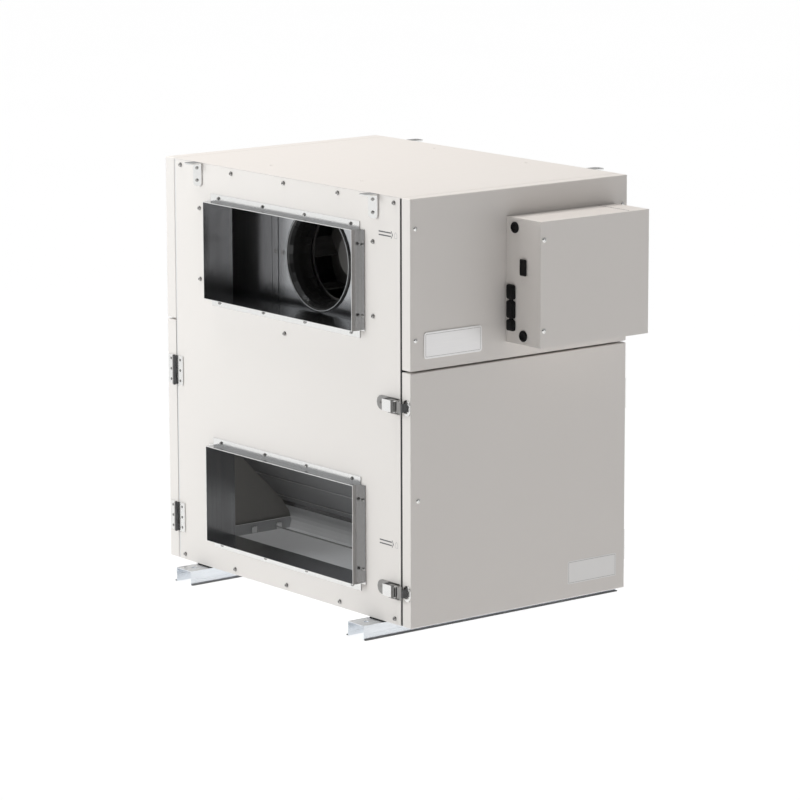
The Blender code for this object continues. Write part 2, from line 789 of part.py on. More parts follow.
def draw_latch(side, tag, z, end):
    name = f"latch_{side}_{tag}"
    latch_base(name, z, end)
    lever = latch_lever(name, z, end)
    hook = latch_hook(name, z, end)
    pivot(f"{name}_lever_pivot", (LATCH_PIVOT_X, LATCH_PIVOT_Y, z), end, lever)
    pivot(f"{name}_hook_pivot", (LATCH_HOOK_PIN_X, LATCH_HOOK_PIN_Y, z), end, hook)
    return latch_keeper(name, z, end)


# Floor rails: hat section, the lips on the floor, a seat strip on top under the cabinet.
def floor_rail(name, y):
    half_web = RAIL_WEB / 2
    lip_z = -RAIL_HEIGHT + RAIL_SHEET
    reach = HALF_X + RAIL_OUT
    web_z = -GAP - RAIL_SEAT
    profile = [(0.0, web_z), (half_web, web_z), (half_web, lip_z), (half_web + RAIL_LIP, lip_z)]
    work = bmesh.new()
    row = [work.verts.new((-reach, a, b)) for a, b in profile]
    edges = [work.edges.new(pair) for pair in zip(row, row[1:])]
    grown = bmesh.ops.extrude_edge_only(work, edges=edges)["geom"]
    ends = [item for item in grown if isinstance(item, bmesh.types.BMVert)]
    bmesh.ops.translate(work, vec=(2 * reach, 0.0, 0.0), verts=ends)
    bmesh.ops.recalc_face_normals(work, faces=work.faces)
    work.faces.ensure_lookup_table()
    if work.faces[0].normal.z < 0.0:
        bmesh.ops.reverse_faces(work, faces=work.faces)
    rail = place(name, to_mesh(name, work), GALVANIZED, NEAR, (0.0, y, 0.0))
    mirror = rail.modifiers.new("other_half", "MIRROR")
    mirror.use_axis = (False, True, False)
    mirror.merge_threshold = MERGE
    thicken(rail, RAIL_SHEET)
    for tag, side in (("left", -1), ("right", 1)):
        hole = rod(
            f"{name}_hole_{tag}",
            RAIL_HOLE_R,
            "Z",
            (side * (HALF_X + RAIL_HOLE_OUT), y),
            -RAIL_SHEET - THROUGH,
            THROUGH,
            NEAR,
            BARREL_ROUND,
        )
        cut(rail, hole)
    seat_y = half_web - RAIL_SHEET
    seat = box(
        f"{name}_seat",
        (-HALF_X + RAIL_SHEET, y - seat_y, web_z - RAIL_SHEET / 2),
        (HALF_X - RAIL_SHEET, y + seat_y, -GAP),
    )
    add(rail, seat)
    return rail


# Control box
def control_box():
    cover_back = BOX_FACE + COVER_RIM
    open_box(
        "control_box",
        (BOX_LEFT, cover_back + GAP, BOX_LOW),
        (BOX_RIGHT, PANEL_FACE - GAP, BOX_HIGH),
        (0.0, -1.0, 0.0),
        BOX_SHEET,
        PAINT,
    )
    open_box(
        "control_box_cover",
        (BOX_LEFT, BOX_FACE, BOX_LOW),
        (BOX_RIGHT, cover_back, BOX_HIGH),
        (0.0, 1.0, 0.0),
        BOX_SHEET,
        PAINT,
    )


def cable_grommet(tag, out, z):
    y = PANEL_FACE - out
    tip = BOX_SIDE - GROMMET_OUT
    slope = GROMMET_OUT / 2
    profile = [
        (0.0, BOX_SIDE),
        (GROMMET_R, BOX_SIDE),
        (GROMMET_R, BOX_SIDE - slope),
        (GROMMET_R - slope, tip),
        (GROMMET_R - 2 * slope, tip),
        (GROMMET_R - GROMMET_RIM, BOX_SIDE - slope),
        (0.0, BOX_SIDE - slope),
    ]
    return turned(f"cable_grommet_{tag}", profile, (y, z), BLACK, steps=MIDDLE_ROUND)


def side_block(name, y, z, width, height, out):
    return box(
        name,
        (BOX_SIDE - out, y - width / 2, z - height / 2),
        (BOX_SIDE, y + width / 2, z + height / 2),
        BLACK,
    )


def signal_socket():
    y = PANEL_FACE - SOCKET_FROM_PANEL
    z = BOX_Z + SOCKET_RISE
    soften(side_block("signal_socket", y, z, SOCKET_WIDTH, SOCKET_HEIGHT, SOCKET_OUT), BOX_SHEET)


def terminal_strip():
    strip = side_block("terminal_strip", STRIP_Y, STRIP_Z, STRIP_WIDTH, STRIP_HEIGHT, STRIP_OUT)
    for index, rise in enumerate(STRIP_GROOVE_RISES):
        z = STRIP_Z + rise
        groove = box(
            f"strip_groove_{index}",
            (BOX_SIDE - STRIP_OUT - THROUGH, STRIP_Y - STRIP_WIDTH, z - STRIP_GROOVE / 2),
            (BOX_SIDE - STRIP_OUT / 2, STRIP_Y + STRIP_WIDTH, z + STRIP_GROOVE / 2),
        )
        cut(strip, groove)
    return strip


def name_plate():
    half_width = PLATE_WIDTH / 2
    half_height = PLATE_HEIGHT / 2
    return flat(
        "name_plate",
        rounded(
            (PLATE_X - half_width, PLATE_Z - half_height),
            (PLATE_X + half_width, PLATE_Z + half_height),
            PLATE_CORNER,
        ),
        "Y",
        PANEL_FACE - GAP - PLATE_THICK,
        PANEL_FACE - GAP,
        SILVER,
    )


# Deck between the fan sections and the core, with the divider and the core's upper seat.
def fan_deck():
    slab = INSIDE_X - GAP
    deck = box("fan_deck", (-slab, -HALF_Y, DECK_LOW), (slab, HALF_Y, DECK_TOP), GALVANIZED)
    for tag, end in (("left", NEAR), ("right", FAR)):
        passage = box(
            f"passage_{tag}",
            (BULKHEAD_X + THROUGH, -HALF_Y + PASSAGE_MARGIN, DECK_LOW - THROUGH),
            (-PASSAGE_MARGIN / 2, HALF_Y - PASSAGE_MARGIN, DECK_TOP + THROUGH),
            end=end,
        )
        cut(deck, passage)
    middle_z = (DECK_LOW + DECK_TOP) / 2
    half_sheet = DIVIDER_SHEET / 2
    divider = box("divider", (-half_sheet, -HALF_Y, middle_z), (half_sheet, HALF_Y, HEIGHT - WALL - GAP))
    seat_z = CORE_Z + DIAGONAL + 2 * GAP
    keel_outline = [
        (-CORE_SEAT, seat_z - CORE_SEAT),
        (0.0, seat_z),
        (CORE_SEAT, seat_z - CORE_SEAT),
        (CORE_SEAT, middle_z),
        (-CORE_SEAT, middle_z),
    ]
    keel = flat("core_keel", keel_outline, "Y", -CORE_LENGTH / 2, CORE_LENGTH / 2)
    add(deck, divider, keel)
    return deck


# Fan sections: bulkhead with its motor arms, inlet ring, bladed wheel.
def fan_frame(side, end):
    wheel_back = WHEEL_START + WHEEL_WIDTH
    plate = wheel_back + FAN_RUN
    plate_back = plate + MOTOR_PLATE
    hub_floor = wheel_back - HUB_DEPTH + HUB_SHEET
    frame = box(
        f"fan_frame_{side}",
        (BULKHEAD_X, -HALF_Y, DECK_TOP + GAP),
        (BULKHEAD_X + BULKHEAD_SHEET, HALF_Y, HEIGHT - WALL - GAP),
        GALVANIZED,
        end,
    )
    opening = rod(
        f"fan_opening_{side}",
        RING_LIP_R - RING_SEAT + GAP,
        "X",
        (0.0, UPPER_PORT_Z),
        BULKHEAD_X - THROUGH,
        BULKHEAD_X + THROUGH,
        end,
        WIDE_ROUND,
    )
    motor = turned(
        f"motor_{side}",
        [
            (0.0, plate_back),
            (MOTOR_FLANGE_R, plate_back),
            (MOTOR_FLANGE_R, plate),
            (MOTOR_R, plate),
            (MOTOR_R, hub_floor + FAN_RUN),
            (SPINDLE_R, hub_floor + FAN_RUN),
            (SPINDLE_R, hub_floor - HUB_SHEET / 2 + GAP),
            (0.0, hub_floor - HUB_SHEET / 2 + GAP),
        ],
        (0.0, UPPER_PORT_Z),
        end=end,
        steps=MIDDLE_ROUND,
    )
    cut(frame, opening)
    add(frame, motor)
    half_width = MOTOR_ARM_WIDTH / 2
    leg_y = WHEEL_R + MOTOR_LEG_CLEAR
    outer = leg_y + MOTOR_LEG_SHEET
    arm = box(
        f"motor_arm_{side}",
        (plate + GAP, -outer, UPPER_PORT_Z - half_width),
        (plate_back - GAP, outer, UPPER_PORT_Z + half_width),
        end=end,
    )
    add(frame, arm)
    for tag, low in (("front", -outer), ("back", leg_y)):
        leg = box(
            f"motor_leg_{side}_{tag}",
            (BULKHEAD_X + GAP, low, UPPER_PORT_Z - half_width),
            (plate_back - GAP, low + MOTOR_LEG_SHEET, UPPER_PORT_Z + half_width),
            end=end,
        )
        add(frame, leg)
    return frame


def inlet_ring(side, end):
    # The mouth curves from the lip in to the throat, the outer face follows it.
    front = RING_FACE - RING_LIP_THICK
    mouth_r = RING_LIP_R - RING_LIP_THICK
    mouth = []
    behind = []
    for step in range(RING_STEPS + 1):
        turn = math.pi / 2 * step / RING_STEPS
        radius = RING_THROAT_R + (mouth_r - RING_THROAT_R) * (1 - math.sin(turn))
        along = front + RING_DEPTH * (1 - math.cos(turn))
        mouth.append((radius, along))
        outer_r = radius + RING_SHEET * math.sin(turn)
        if along > BULKHEAD_X + BULKHEAD_SHEET:
            behind.append((outer_r, along))
    seat_r = RING_LIP_R - RING_SEAT
    step_x = BULKHEAD_X + BULKHEAD_SHEET + GAP
    profile = behind[::-1] + [(seat_r, step_x), (seat_r, RING_FACE), (RING_LIP_R, RING_FACE)]
    profile += [(RING_LIP_R, front + RING_LIP_THICK / 3), (mouth_r, front)] + mouth[1:]
    return turned(f"inlet_ring_{side}", profile, (0.0, UPPER_PORT_Z), BLACK, end, closed=True)


def fan_blade(name, turn, start, stop, end):
    # Backward swept: the angle grows steadily from root to tip, the front edge follows the cone.
    tip_r = WHEEL_R - GAP
    inner = []
    outer = []
    for step in range(BLADE_STEPS + 1):
        share = step / BLADE_STEPS
        radius = BLADE_ROOT_R + (tip_r - BLADE_ROOT_R) * share
        angle = turn + BLADE_SWEEP * share
        middle = Vector((math.cos(angle), math.sin(angle))) * radius
        across = Vector((-math.sin(angle), math.cos(angle))) * BLADE_SHEET / 2
        inner.append(tuple(middle - across))
        outer.append(tuple(middle + across))
    blade = flat(name, inner + outer[::-1], "X", start + WHEEL_SHEET / 2, stop - WHEEL_SHEET / 2, end=end)
    slope = WHEEL_CONE / (WHEEL_R - WHEEL_EYE_R)
    for vertex in blade.data.vertices:
        if vertex.co.z < 0.0:
            radius = math.hypot(vertex.co.x, vertex.co.y)
            vertex.co.z += slope * (radius - WHEEL_EYE_R)
    blade.location.z = UPPER_PORT_Z
    return blade


def fan_wheel(side, end):
    start = WHEEL_START
    stop = start + WHEEL_WIDTH
    centre = (0.0, UPPER_PORT_Z)
    hub_front = stop - HUB_DEPTH
    hub_floor = hub_front + HUB_SHEET
    socket_r = SPINDLE_R + GAP
    shroud = [
        (WHEEL_R, start + WHEEL_CONE + WHEEL_SHEET),
        (WHEEL_R, start + WHEEL_CONE),
        (WHEEL_EYE_R, start),
        (WHEEL_EYE_R, start + WHEEL_SHEET),
    ]
    wheel = turned(f"fan_wheel_{side}", shroud, centre, BLACK, end, WHEEL_ROUND, True)
    back = [
        (0.0, hub_floor - HUB_SHEET / 2),
        (socket_r, hub_floor - HUB_SHEET / 2),
        (socket_r, hub_floor),
        (HUB_R - WHEEL_SHEET, hub_floor),
        (HUB_R - WHEEL_SHEET, stop),
        (WHEEL_R, stop),
        (WHEEL_R, stop - WHEEL_SHEET),
        (HUB_R, stop - WHEEL_SHEET),
        (HUB_R, hub_front + HUB_SHEET),
        (HUB_R - HUB_SHEET, hub_front),
        (0.0, hub_front),
    ]
    add(wheel, turned(f"wheel_back_{side}", back, centre, None, end, WHEEL_ROUND))
    for index in range(WHEEL_BLADES):
        turn = BLADE_START + 2 * math.pi * index / WHEEL_BLADES
        add(wheel, fan_blade(f"blade_{side}_{index}", turn, start, stop, end))
    pivot(f"fan_wheel_{side}_pivot", (BULKHEAD_X, 0.0, UPPER_PORT_Z), end, wheel)
    return wheel


# Exchanger core: a square stack of plates that stands on one edge.
def exchanger_core():
    outline = []
    half_rib = CORE_RIB_WIDTH / 2
    for side in range(4):
        out = -math.pi / 2 + side * math.pi / 2
        along = out + 3 * math.pi / 4
        corner = Vector((DIAGONAL * math.cos(out), CORE_Z + DIAGONAL * math.sin(out)))
        run = Vector((math.cos(along), math.sin(along)))
        outward = Vector((run.y, -run.x)) * CORE_RIB
        outline.append(tuple(corner))
        for share in CORE_RIB_SHARES:
            start = corner + run * (CORE_SIDE * share - half_rib)
            stop = corner + run * (CORE_SIDE * share + half_rib)
            outline += [tuple(start), tuple(start + outward), tuple(stop + outward), tuple(stop)]
    return flat("exchanger_core", outline, "Y", -CORE_LENGTH / 2, CORE_LENGTH / 2, ALUMINIUM)


# Assembly
top_panel()
base_panel()
fan_deck()
exchanger_core()
control_box()
terminal_strip()
name_plate()
signal_socket()
cable_grommet("upper", UPPER_GROMMET_OUT, BOX_HIGH - UPPER_GROMMET_DROP)
cable_grommet("lower", LOWER_GROMMET_OUT, BOX_LOW + LOWER_GROMMET_LIFT)
floor_rail("floor_rail_front", FRONT_RAIL_Y)
floor_rail("floor_rail_back", BACK_RAIL_Y)

for side, end in (("left", NEAR), ("right", FAR)):
    end_panel(side, end)
    duct_collar(side, "upper", UPPER_PORT_Z, end)
    duct_collar(side, "lower", LOWER_PORT_Z, end)
    front_is = -1 if end is NEAR else 1
    hanging_bracket(f"hanging_bracket_{side}_near", front_is * BRACKET_Y, end)
    hanging_bracket(f"hanging_bracket_{side}_far", -front_is * BRACKET_Y, end)
    fan_frame(side, end)
    inlet_ring(side, end)
    fan_wheel(side, end)

for side, thick, end, hinge_end in (("front", FRONT_PANEL, NEAR, FAR), ("back", BACK_PANEL, FAR, NEAR)):
    door_seal(side, end)
    flat_panel(f"{side}_upper_panel", thick, SEAM_TOP, HEIGHT, end)
    door = flat_panel(f"{side}_door", thick, 0.0, SEAM_LOW, end)
    leaves = [butt_hinge(side, tag, z, hinge_end) for tag, z in HINGE_ZS]
    keepers = [draw_latch(side, tag, z, end) for tag, z in LATCH_ZS]
    pivot(f"{side}_door_pivot", (HINGE_AXIS_X, HINGE_AXIS_Y, 0.0), hinge_end, door, *leaves, *keepers)
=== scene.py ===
# Looks of a heat recovery ventilator: finishes, screws, signs, light and camera.
# Metres, +Z up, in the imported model's frame. Places on the cabinet are given from
# its middle in plan and from its underside, as seen from the near duct end.

import math

import bmesh
import bpy
from mathutils import Matrix, Vector


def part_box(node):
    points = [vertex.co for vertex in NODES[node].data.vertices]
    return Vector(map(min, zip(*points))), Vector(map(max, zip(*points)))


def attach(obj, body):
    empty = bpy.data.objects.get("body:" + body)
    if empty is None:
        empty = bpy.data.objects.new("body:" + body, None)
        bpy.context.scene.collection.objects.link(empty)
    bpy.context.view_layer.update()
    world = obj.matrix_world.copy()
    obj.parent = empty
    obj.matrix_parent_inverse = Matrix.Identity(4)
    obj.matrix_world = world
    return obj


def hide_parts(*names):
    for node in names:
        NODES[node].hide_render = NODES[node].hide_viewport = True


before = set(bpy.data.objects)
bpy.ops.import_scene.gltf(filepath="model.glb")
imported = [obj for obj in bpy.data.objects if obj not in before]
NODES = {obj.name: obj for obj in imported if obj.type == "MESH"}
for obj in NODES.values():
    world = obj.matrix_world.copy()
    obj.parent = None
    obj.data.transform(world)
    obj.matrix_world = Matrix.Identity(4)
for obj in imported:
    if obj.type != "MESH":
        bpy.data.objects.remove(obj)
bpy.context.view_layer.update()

# Places taken from the frame
END_LOW, END_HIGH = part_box("end_panel_left")
END_X = END_LOW.x
HALF_Y = (END_HIGH.y - END_LOW.y) / 2
BASE = Vector((0.0, (END_HIGH.y + END_LOW.y) / 2, END_LOW.z))
TOP_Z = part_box("top_panel")[1].z - BASE.z
PANEL_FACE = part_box("front_door")[0].y - BASE.y
PANEL_FACES = {"front": PANEL_FACE, "back": BASE.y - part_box("back_door")[1].y}
PANEL_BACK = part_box("front_door")[1].y - BASE.y
SEAM_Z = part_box("front_door")[1].z - BASE.z
BULKHEAD_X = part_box("fan_frame_left")[0].x
COVER_LOW, COVER_HIGH = (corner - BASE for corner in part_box("control_box_cover"))
BOX_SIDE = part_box("control_box")[0].x
STRIP_LOW, STRIP_HIGH = (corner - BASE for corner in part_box("terminal_strip"))
UPPER_LOW, UPPER_HIGH = (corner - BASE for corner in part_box("duct_collar_left_upper"))
LOWER_LOW, LOWER_HIGH = (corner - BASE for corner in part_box("duct_collar_left_lower"))
PORT_ZS = ((UPPER_LOW.z + UPPER_HIGH.z) / 2, (LOWER_LOW.z + LOWER_HIGH.z) / 2)
PLATE_LOW, PLATE_HIGH = (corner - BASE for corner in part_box("name_plate"))
LEAF_BACK_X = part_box("hinge_back_upper_fixed_leaf")[1].x
FLANGE_SHEET = 0.0012
FLANGE_X = LEAF_BACK_X - FLANGE_SHEET
LEAF_X = LEAF_BACK_X - 0.002
LATCH_SHEET = 0.0015
LATCH_X = FLANGE_X + FLANGE_SHEET - LATCH_SHEET
LEAF_OUT = 0.0027
CORE_LOW, CORE_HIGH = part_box("exchanger_core")
CORE_MIDDLE = (CORE_LOW + CORE_HIGH) / 2
CORE_HALF = (CORE_HIGH.z - CORE_LOW.z) / 2
RAIL_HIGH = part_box("floor_rail_front")[1].z
RING_LOW, RING_HIGH = (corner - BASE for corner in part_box("inlet_ring_left"))

# Limits between two finishes on one node
SQUARE_ON = 0.7
RIB_OUT = 0.001
BARREL_BACK = -0.35
DOOR_INSIDE_Y = abs(PANEL_BACK) + 0.0005
REST_SHADOW_Z = 0.078
RAIL_LIP_TOP = 0.0035
RAIL_SEAT = 0.0019

# Screw heads: profiles in shares of the head's radius
WASHER = ((1.0, 0.0), (1.0, 0.16), (0.9, 0.26), (0.4, 0.3))
HEXAGON = ((0.74, 0.2), (0.74, 0.72), (0.62, 0.84), (0.42, 0.84), (0.30, 0.62))
DOME = ((1.0, 0.0), (0.97, 0.18), (0.82, 0.38), (0.55, 0.52), (0.42, 0.55), (0.30, 0.30))
DISC = ((1.0, 0.0), (0.95, 0.10), (0.45, 0.16), (0.30, 0.0))
WASHER_SIDES = 20
DOME_SIDES = 18
DISC_SIDES = 16
TURN_STEP = 7 * math.pi / 18
SHARP = math.radians(35)

# Screws on the cabinet
HEAD_R = 0.0050
SMALL_HEAD_R = 0.0038
COVER_HEAD_R = 0.0056
LEAF_HEAD_R = 0.0031
KEEPER_HEAD_R = 0.0026
LEAF_SCREW_IN = 0.009
LEAF_SCREW_PITCH = 0.0225
KEEPER_SCREW_IN = (0.0055, 0.0085)
BASE_SCREW_IN = 0.0125
END_ROW_PITCH = 0.1817
END_ROW_ZS = (TOP_Z - 0.0125, 0.0115)
END_MIDDLE_Z = 0.541
PORT_SIDE_Y = 0.296
PORT_SIDE_ZS = (0.767, 0.617)
FLANGE_MIDDLE = 0.0078
FLANGE_YS = (-0.2258, -0.0713, 0.0713, 0.2258)
FLANGE_ZS = (-0.0717, 0.0717)
BRACKET_Y = 0.2995
BRACKET_SHEET = 0.003
BRACKET_SCREW_ZS = (TOP_Z - 0.012, TOP_Z - 0.038)
PANEL_SCREW_X = 0.2697
PANEL_SCREW_ZS = (TOP_Z - 0.0596, SEAM_Z + 0.065)
DOOR_SCREW = (-0.264, 0.2585)
COVER_SCREW_X = COVER_LOW.x + 0.0085
COVER_SCREW_ZS = (0.772, 0.5895)
ROOF_SCREW_XS = (-0.194, 0.2386)
ROOF_SCREW_YS = (-0.143, 0.1635)

# Joint on the roof of the control box
BOX_JOINT = 0.0016
BOX_JOINT_X = 0.202
BOX_JOINT_YS = (COVER_LOW.y + 0.010, PANEL_FACE - 0.0015)

# Lap in the bulkhead
LAP_YS = (0.1388, 0.1600)
LAP_ZS = (0.577, TOP_Z - 0.028)
LAP_SHEET = 0.0008
LAP_EDGE = 0.0012
LAP_SCREW_YS = (0.1465, 0.1224)
LAP_SCREW_Z = 0.6857

# Painted highlight on the rim of the inlet ring
RIM_IN = 0.0035
RIM_WIDTH = 0.0012
RIM_THICK = 0.0008
RIM_STEPS = 64

# Joint between the roof and the upper panels
JOINT_CLEAR = 0.0001
JOINT_HALF = 0.2812
JOINT_DEEP = 0.0017

# Grip of the latch lever
GRIP_SINK = 0.0004
GRIP_INSET = 0.0015
GRIP_YS = (0.0022, 0.0098)
GRIP_SHEET = 0.0005
GRIP_RIBS = 6
GRIP_RIB = 0.0006

# End frame of the core
CORE_EDGE = 0.004
CORE_EDGE_WIDTH = 0.014
CORE_EDGE_THICK = 0.0008

# Bead at the foot of the rest
FOOT_Z = 0.0272
FOOT_XS = (0.0125, 0.0190)
FOOT_HALF = 0.375
FOOT_THICK = 0.0008

# Clips on the sill
SILL_SHEET = 0.005
CLIP_XS = (0.0917, 0.0250)
CLIP_LOW_Z = 0.0290
CLIP_WIDTH = 0.014
CLIP_HEIGHT = 0.014
CLIP_OUT = 0.003
CLIP_CORNER = 0.0012
CLIP_LIP = (0.0035, 0.0008)
CLIP_LIP_OUT = 0.0012

# Signs and labels
FILM = 0.00015
SIGN_Y = -0.3145
SIGN_TO_Y = -0.3575
SIGN_HEAD = 0.004
SIGN_HEAD_HALF = 0.0075
SIGN_HEAD_LINE = (0.0022, 0.0016)
SIGN_BAR = 0.0026
SIGN_BAR_RISES = (0.0021, -0.0047)
SIGN_LIFTS = (0.102, -0.003)
HOUSE_Y = -0.3685
HOUSE_OUTER = ((-0.0045, -0.0060), (0.0045, -0.0060), (0.0045, 0.0020), (0.0, 0.0068), (-0.0045, 0.0020))
HOUSE_INNER = ((-0.0036, -0.0051), (0.0036, -0.0051), (0.0036, 0.0016), (0.0, 0.0055), (-0.0036, 0.0016))
PRINT_LINE = 0.0009
PLATE_CORNER = 0.006
PLATE_INSET = 0.0035
LABEL_PLACE = (0.1935, 0.053)
LABEL_SIZE = (0.131, 0.048)
LABEL_CORNER = 0.003
LABEL_INSET = 0.002
LABEL_THICK = 0.0002

# Terminal strip
CARRIER_SHARE = (0.22, 0.5)
CARRIER_IN = 0.004
CARRIER_CORNER = 0.002
PLUG_ENDS = ((0.0, 0.0225), (0.0255, 0.0610), (0.0640, STRIP_HIGH.z - STRIP_LOW.z))
PLUG_CORNER = 0.0045
PLUG_OUT_SHARE = 0.8
PLUG_INSET_SHARE = 0.32
PLUG_INSET = 0.004
PLUG_BEVEL = 0.0006

# Camera, solved from the photograph's straight edges
CAMERA_PLACE = BASE + Vector((-5.0608, -6.4618, 1.9649))
CAMERA_YAW = math.radians(-38.1635)
CAMERA_TILT = math.radians(90.0 - 11.01)
CAMERA_ROLL = math.radians(-0.155)
CAMERA_LENS = 179.3
SENSOR = 36.0

# Light
SKY = 0.39
SKY_DARK = 0.06
DARK_SIDE = (-0.80, -0.52, 0.30)
DARK_FROM = 0.70
DARK_TO = 0.95
LAMP_AWAY = 4.5
KEY_FROM = Vector((-0.78, 0.55, 0.30))
KEY_SIZE = 2.2
KEY_POWER = 140.0
KEY_COLOUR = (0.945, 0.985, 1.0)
ROOF_FROM = Vector((-0.05, 0.25, 0.97))
ROOF_SIZE = 2.2
ROOF_POWER = 168.0
ROOF_COLOUR = (1.0, 0.972, 0.945)
FLOOR_LIGHT = 2.5
INNER_FROM = Vector((-0.5, 0.0, 0.87))
INNER_LIGHT = 1.15
FLOOR_HALF = 40.0


# Materials
class Finish:
    """A surface built from shader nodes, in the piece's own metres."""

    def __init__(self, name, colour, metallic, roughness):
        self.material = bpy.data.materials.new(name)
        self.material.use_nodes = True
        self.tree = self.material.node_tree
        self.shader = self.tree.nodes["Principled BSDF"]
        self.shader.inputs["Base Color"].default_value = (*colour, 1.0)
        self.shader.inputs["Metallic"].default_value = metallic
        self.shader.inputs["Roughness"].default_value = roughness
        self.colour = colour
        self.place = self.tree.nodes.new("ShaderNodeTexCoord").outputs["Object"]

    def stretched(self, scale):
        mapping = self.tree.nodes.new("ShaderNodeMapping")
        mapping.inputs["Scale"].default_value = scale
        self.tree.links.new(self.place, mapping.inputs["Vector"])
        return mapping.outputs["Vector"]

    def noise(self, scale, detail=2.0, place=None):
        node = self.tree.nodes.new("ShaderNodeTexNoise")
        node.inputs["Scale"].default_value = scale
        node.inputs["Detail"].default_value = detail
        self.tree.links.new(place or self.place, node.inputs["Vector"])
        return node.outputs["Fac"]

    def stripes(self, scale, direction):
        node = self.tree.nodes.new("ShaderNodeTexWave")
        node.wave_type = "BANDS"
        node.bands_direction = direction
        node.inputs["Scale"].default_value = scale
        self.tree.links.new(self.place, node.inputs["Vector"])
        return node.outputs["Fac"]

    def spread(self, value, low, high):
        node = self.tree.nodes.new("ShaderNodeMapRange")
        node.inputs["To Min"].default_value = low
        node.inputs["To Max"].default_value = high
        self.tree.links.new(value, node.inputs["Value"])
        return node.outputs["Result"]

    def tint(self, value, other):
        node = self.tree.nodes.new("ShaderNodeMix")
        node.data_type = "RGBA"
        node.inputs["A"].default_value = (*self.colour, 1.0)
        node.inputs["B"].default_value = (*other, 1.0)
        self.tree.links.new(value, node.inputs["Factor"])
        self.tree.links.new(node.outputs["Result"], self.shader.inputs["Base Color"])

    def shine(self, value, low, high):
        self.tree.links.new(self.spread(value, low, high), self.shader.inputs["Roughness"])

    def bumps(self, value, strength, height):
        node = self.tree.nodes.new("ShaderNodeBump")
        node.inputs["Strength"].default_value = strength
        node.inputs["Distance"].default_value = height
        self.tree.links.new(value, node.inputs["Height"])
        self.tree.links.new(node.outputs["Normal"], self.shader.inputs["Normal"])


def powder_coat():
    finish = Finish("powder_coat", (0.700, 0.668, 0.640), 0.0, 0.42)
    finish.tint(finish.noise(3.0, 3.0), (0.690, 0.656, 0.626))
    finish.shine(finish.noise(60.0), 0.38, 0.48)
    finish.bumps(finish.noise(900.0, 1.0), 0.10, 0.0002)
    return finish.material


def galvanized():
    finish = Finish("galvanized_sheet", (0.74, 0.755, 0.775), 1.0, 0.20)
    drawn = finish.noise(1.0, 3.0, finish.stretched((160.0, 160.0, 5.0)))
    finish.tint(drawn, (0.62, 0.635, 0.655))
    finish.shine(drawn, 0.14, 0.30)
    finish.bumps(finish.noise(1.0, 2.0, finish.stretched((24.0, 24.0, 2.0))), 0.10, 0.0010)
    return finish.material


def inner_sheet():
    finish = Finish("inner_sheet", (0.50, 0.51, 0.525), 1.0, 0.22)
    drawn = finish.noise(1.0, 3.0, finish.stretched((160.0, 160.0, 5.0)))
    finish.tint(drawn, (0.42, 0.43, 0.445))
    finish.shine(drawn, 0.16, 0.30)
    finish.bumps(finish.noise(1.0, 2.0, finish.stretched((24.0, 24.0, 2.0))), 0.10, 0.0010)
    return finish.material


# A darker copy of the galvanized sheet, used for painted shade, shadow and dark reflection.
def shaded_sheet():
    finish = Finish("shaded_sheet", (0.36, 0.355, 0.355), 1.0, 0.20)
    drawn = finish.noise(1.0, 3.0, finish.stretched((150.0, 150.0, 3.0)))
    finish.tint(drawn, (0.25, 0.247, 0.247))
    finish.shine(drawn, 0.14, 0.28)
    finish.bumps(drawn, 0.05, 0.0003)
    return finish.material


def rail_sheet():
    finish = Finish("rail_sheet", (0.76, 0.79, 0.825), 1.0, 0.24)
    drawn = finish.noise(1.0, 3.0, finish.stretched((4.0, 180.0, 180.0)))
    finish.tint(drawn, (0.66, 0.69, 0.725))
    finish.shine(drawn, 0.18, 0.34)
    finish.bumps(drawn, 0.06, 0.0002)
    return finish.material


def grey_sheet():
    finish = Finish("grey_sheet", (0.56, 0.565, 0.57), 0.2, 0.42)
    finish.tint(finish.noise(14.0, 3.0), (0.51, 0.515, 0.52))
    finish.shine(finish.noise(60.0), 0.36, 0.48)
    finish.bumps(finish.noise(300.0), 0.05, 0.0002)
    return finish.material


def zinc():
    finish = Finish("bright_zinc", (0.86, 0.86, 0.85), 1.0, 0.18)
    finish.tint(finish.noise(120.0, 3.0), (0.76, 0.76, 0.75))
    finish.shine(finish.noise(400.0, 3.0), 0.12, 0.26)
    finish.bumps(finish.noise(700.0), 0.04, 0.0002)
    return finish.material


def dull_zinc():
    finish = Finish("dull_zinc", (0.36, 0.355, 0.345), 1.0, 0.34)
    finish.tint(finish.noise(160.0, 3.0), (0.28, 0.275, 0.27))
    finish.shine(finish.noise(400.0, 3.0), 0.26, 0.42)
    finish.bumps(finish.noise(700.0), 0.05, 0.0002)
    return finish.material


def dark_steel():
    finish = Finish("dark_steel", (0.085, 0.085, 0.09), 1.0, 0.30)
    finish.tint(finish.noise(240.0, 3.0), (0.13, 0.13, 0.13))
    finish.shine(finish.noise(400.0), 0.24, 0.38)
    finish.bumps(finish.noise(900.0), 0.05, 0.0002)
    return finish.material


def screw_zinc():
    finish = Finish("screw_zinc", (0.50, 0.495, 0.485), 1.0, 0.22)
    finish.tint(finish.noise(300.0, 3.0), (0.40, 0.395, 0.385))
    finish.shine(finish.noise(500.0), 0.16, 0.30)
    return finish.material


def door_liner():
    finish = Finish("door_liner", (0.40, 0.39, 0.37), 0.0, 0.60)
    finish.tint(finish.noise(30.0, 3.0), (0.36, 0.35, 0.33))
    finish.bumps(finish.noise(400.0), 0.10, 0.0003)
    return finish.material


def core_plates():
    finish = Finish("core_plates", (0.34, 0.34, 0.345), 0.5, 0.42)
    lines = finish.stripes(130.0, "Y")
    finish.tint(lines, (0.20, 0.20, 0.205))
    finish.shine(lines, 0.36, 0.58)
    finish.bumps(lines, 0.5, 0.0006)
    return finish.material


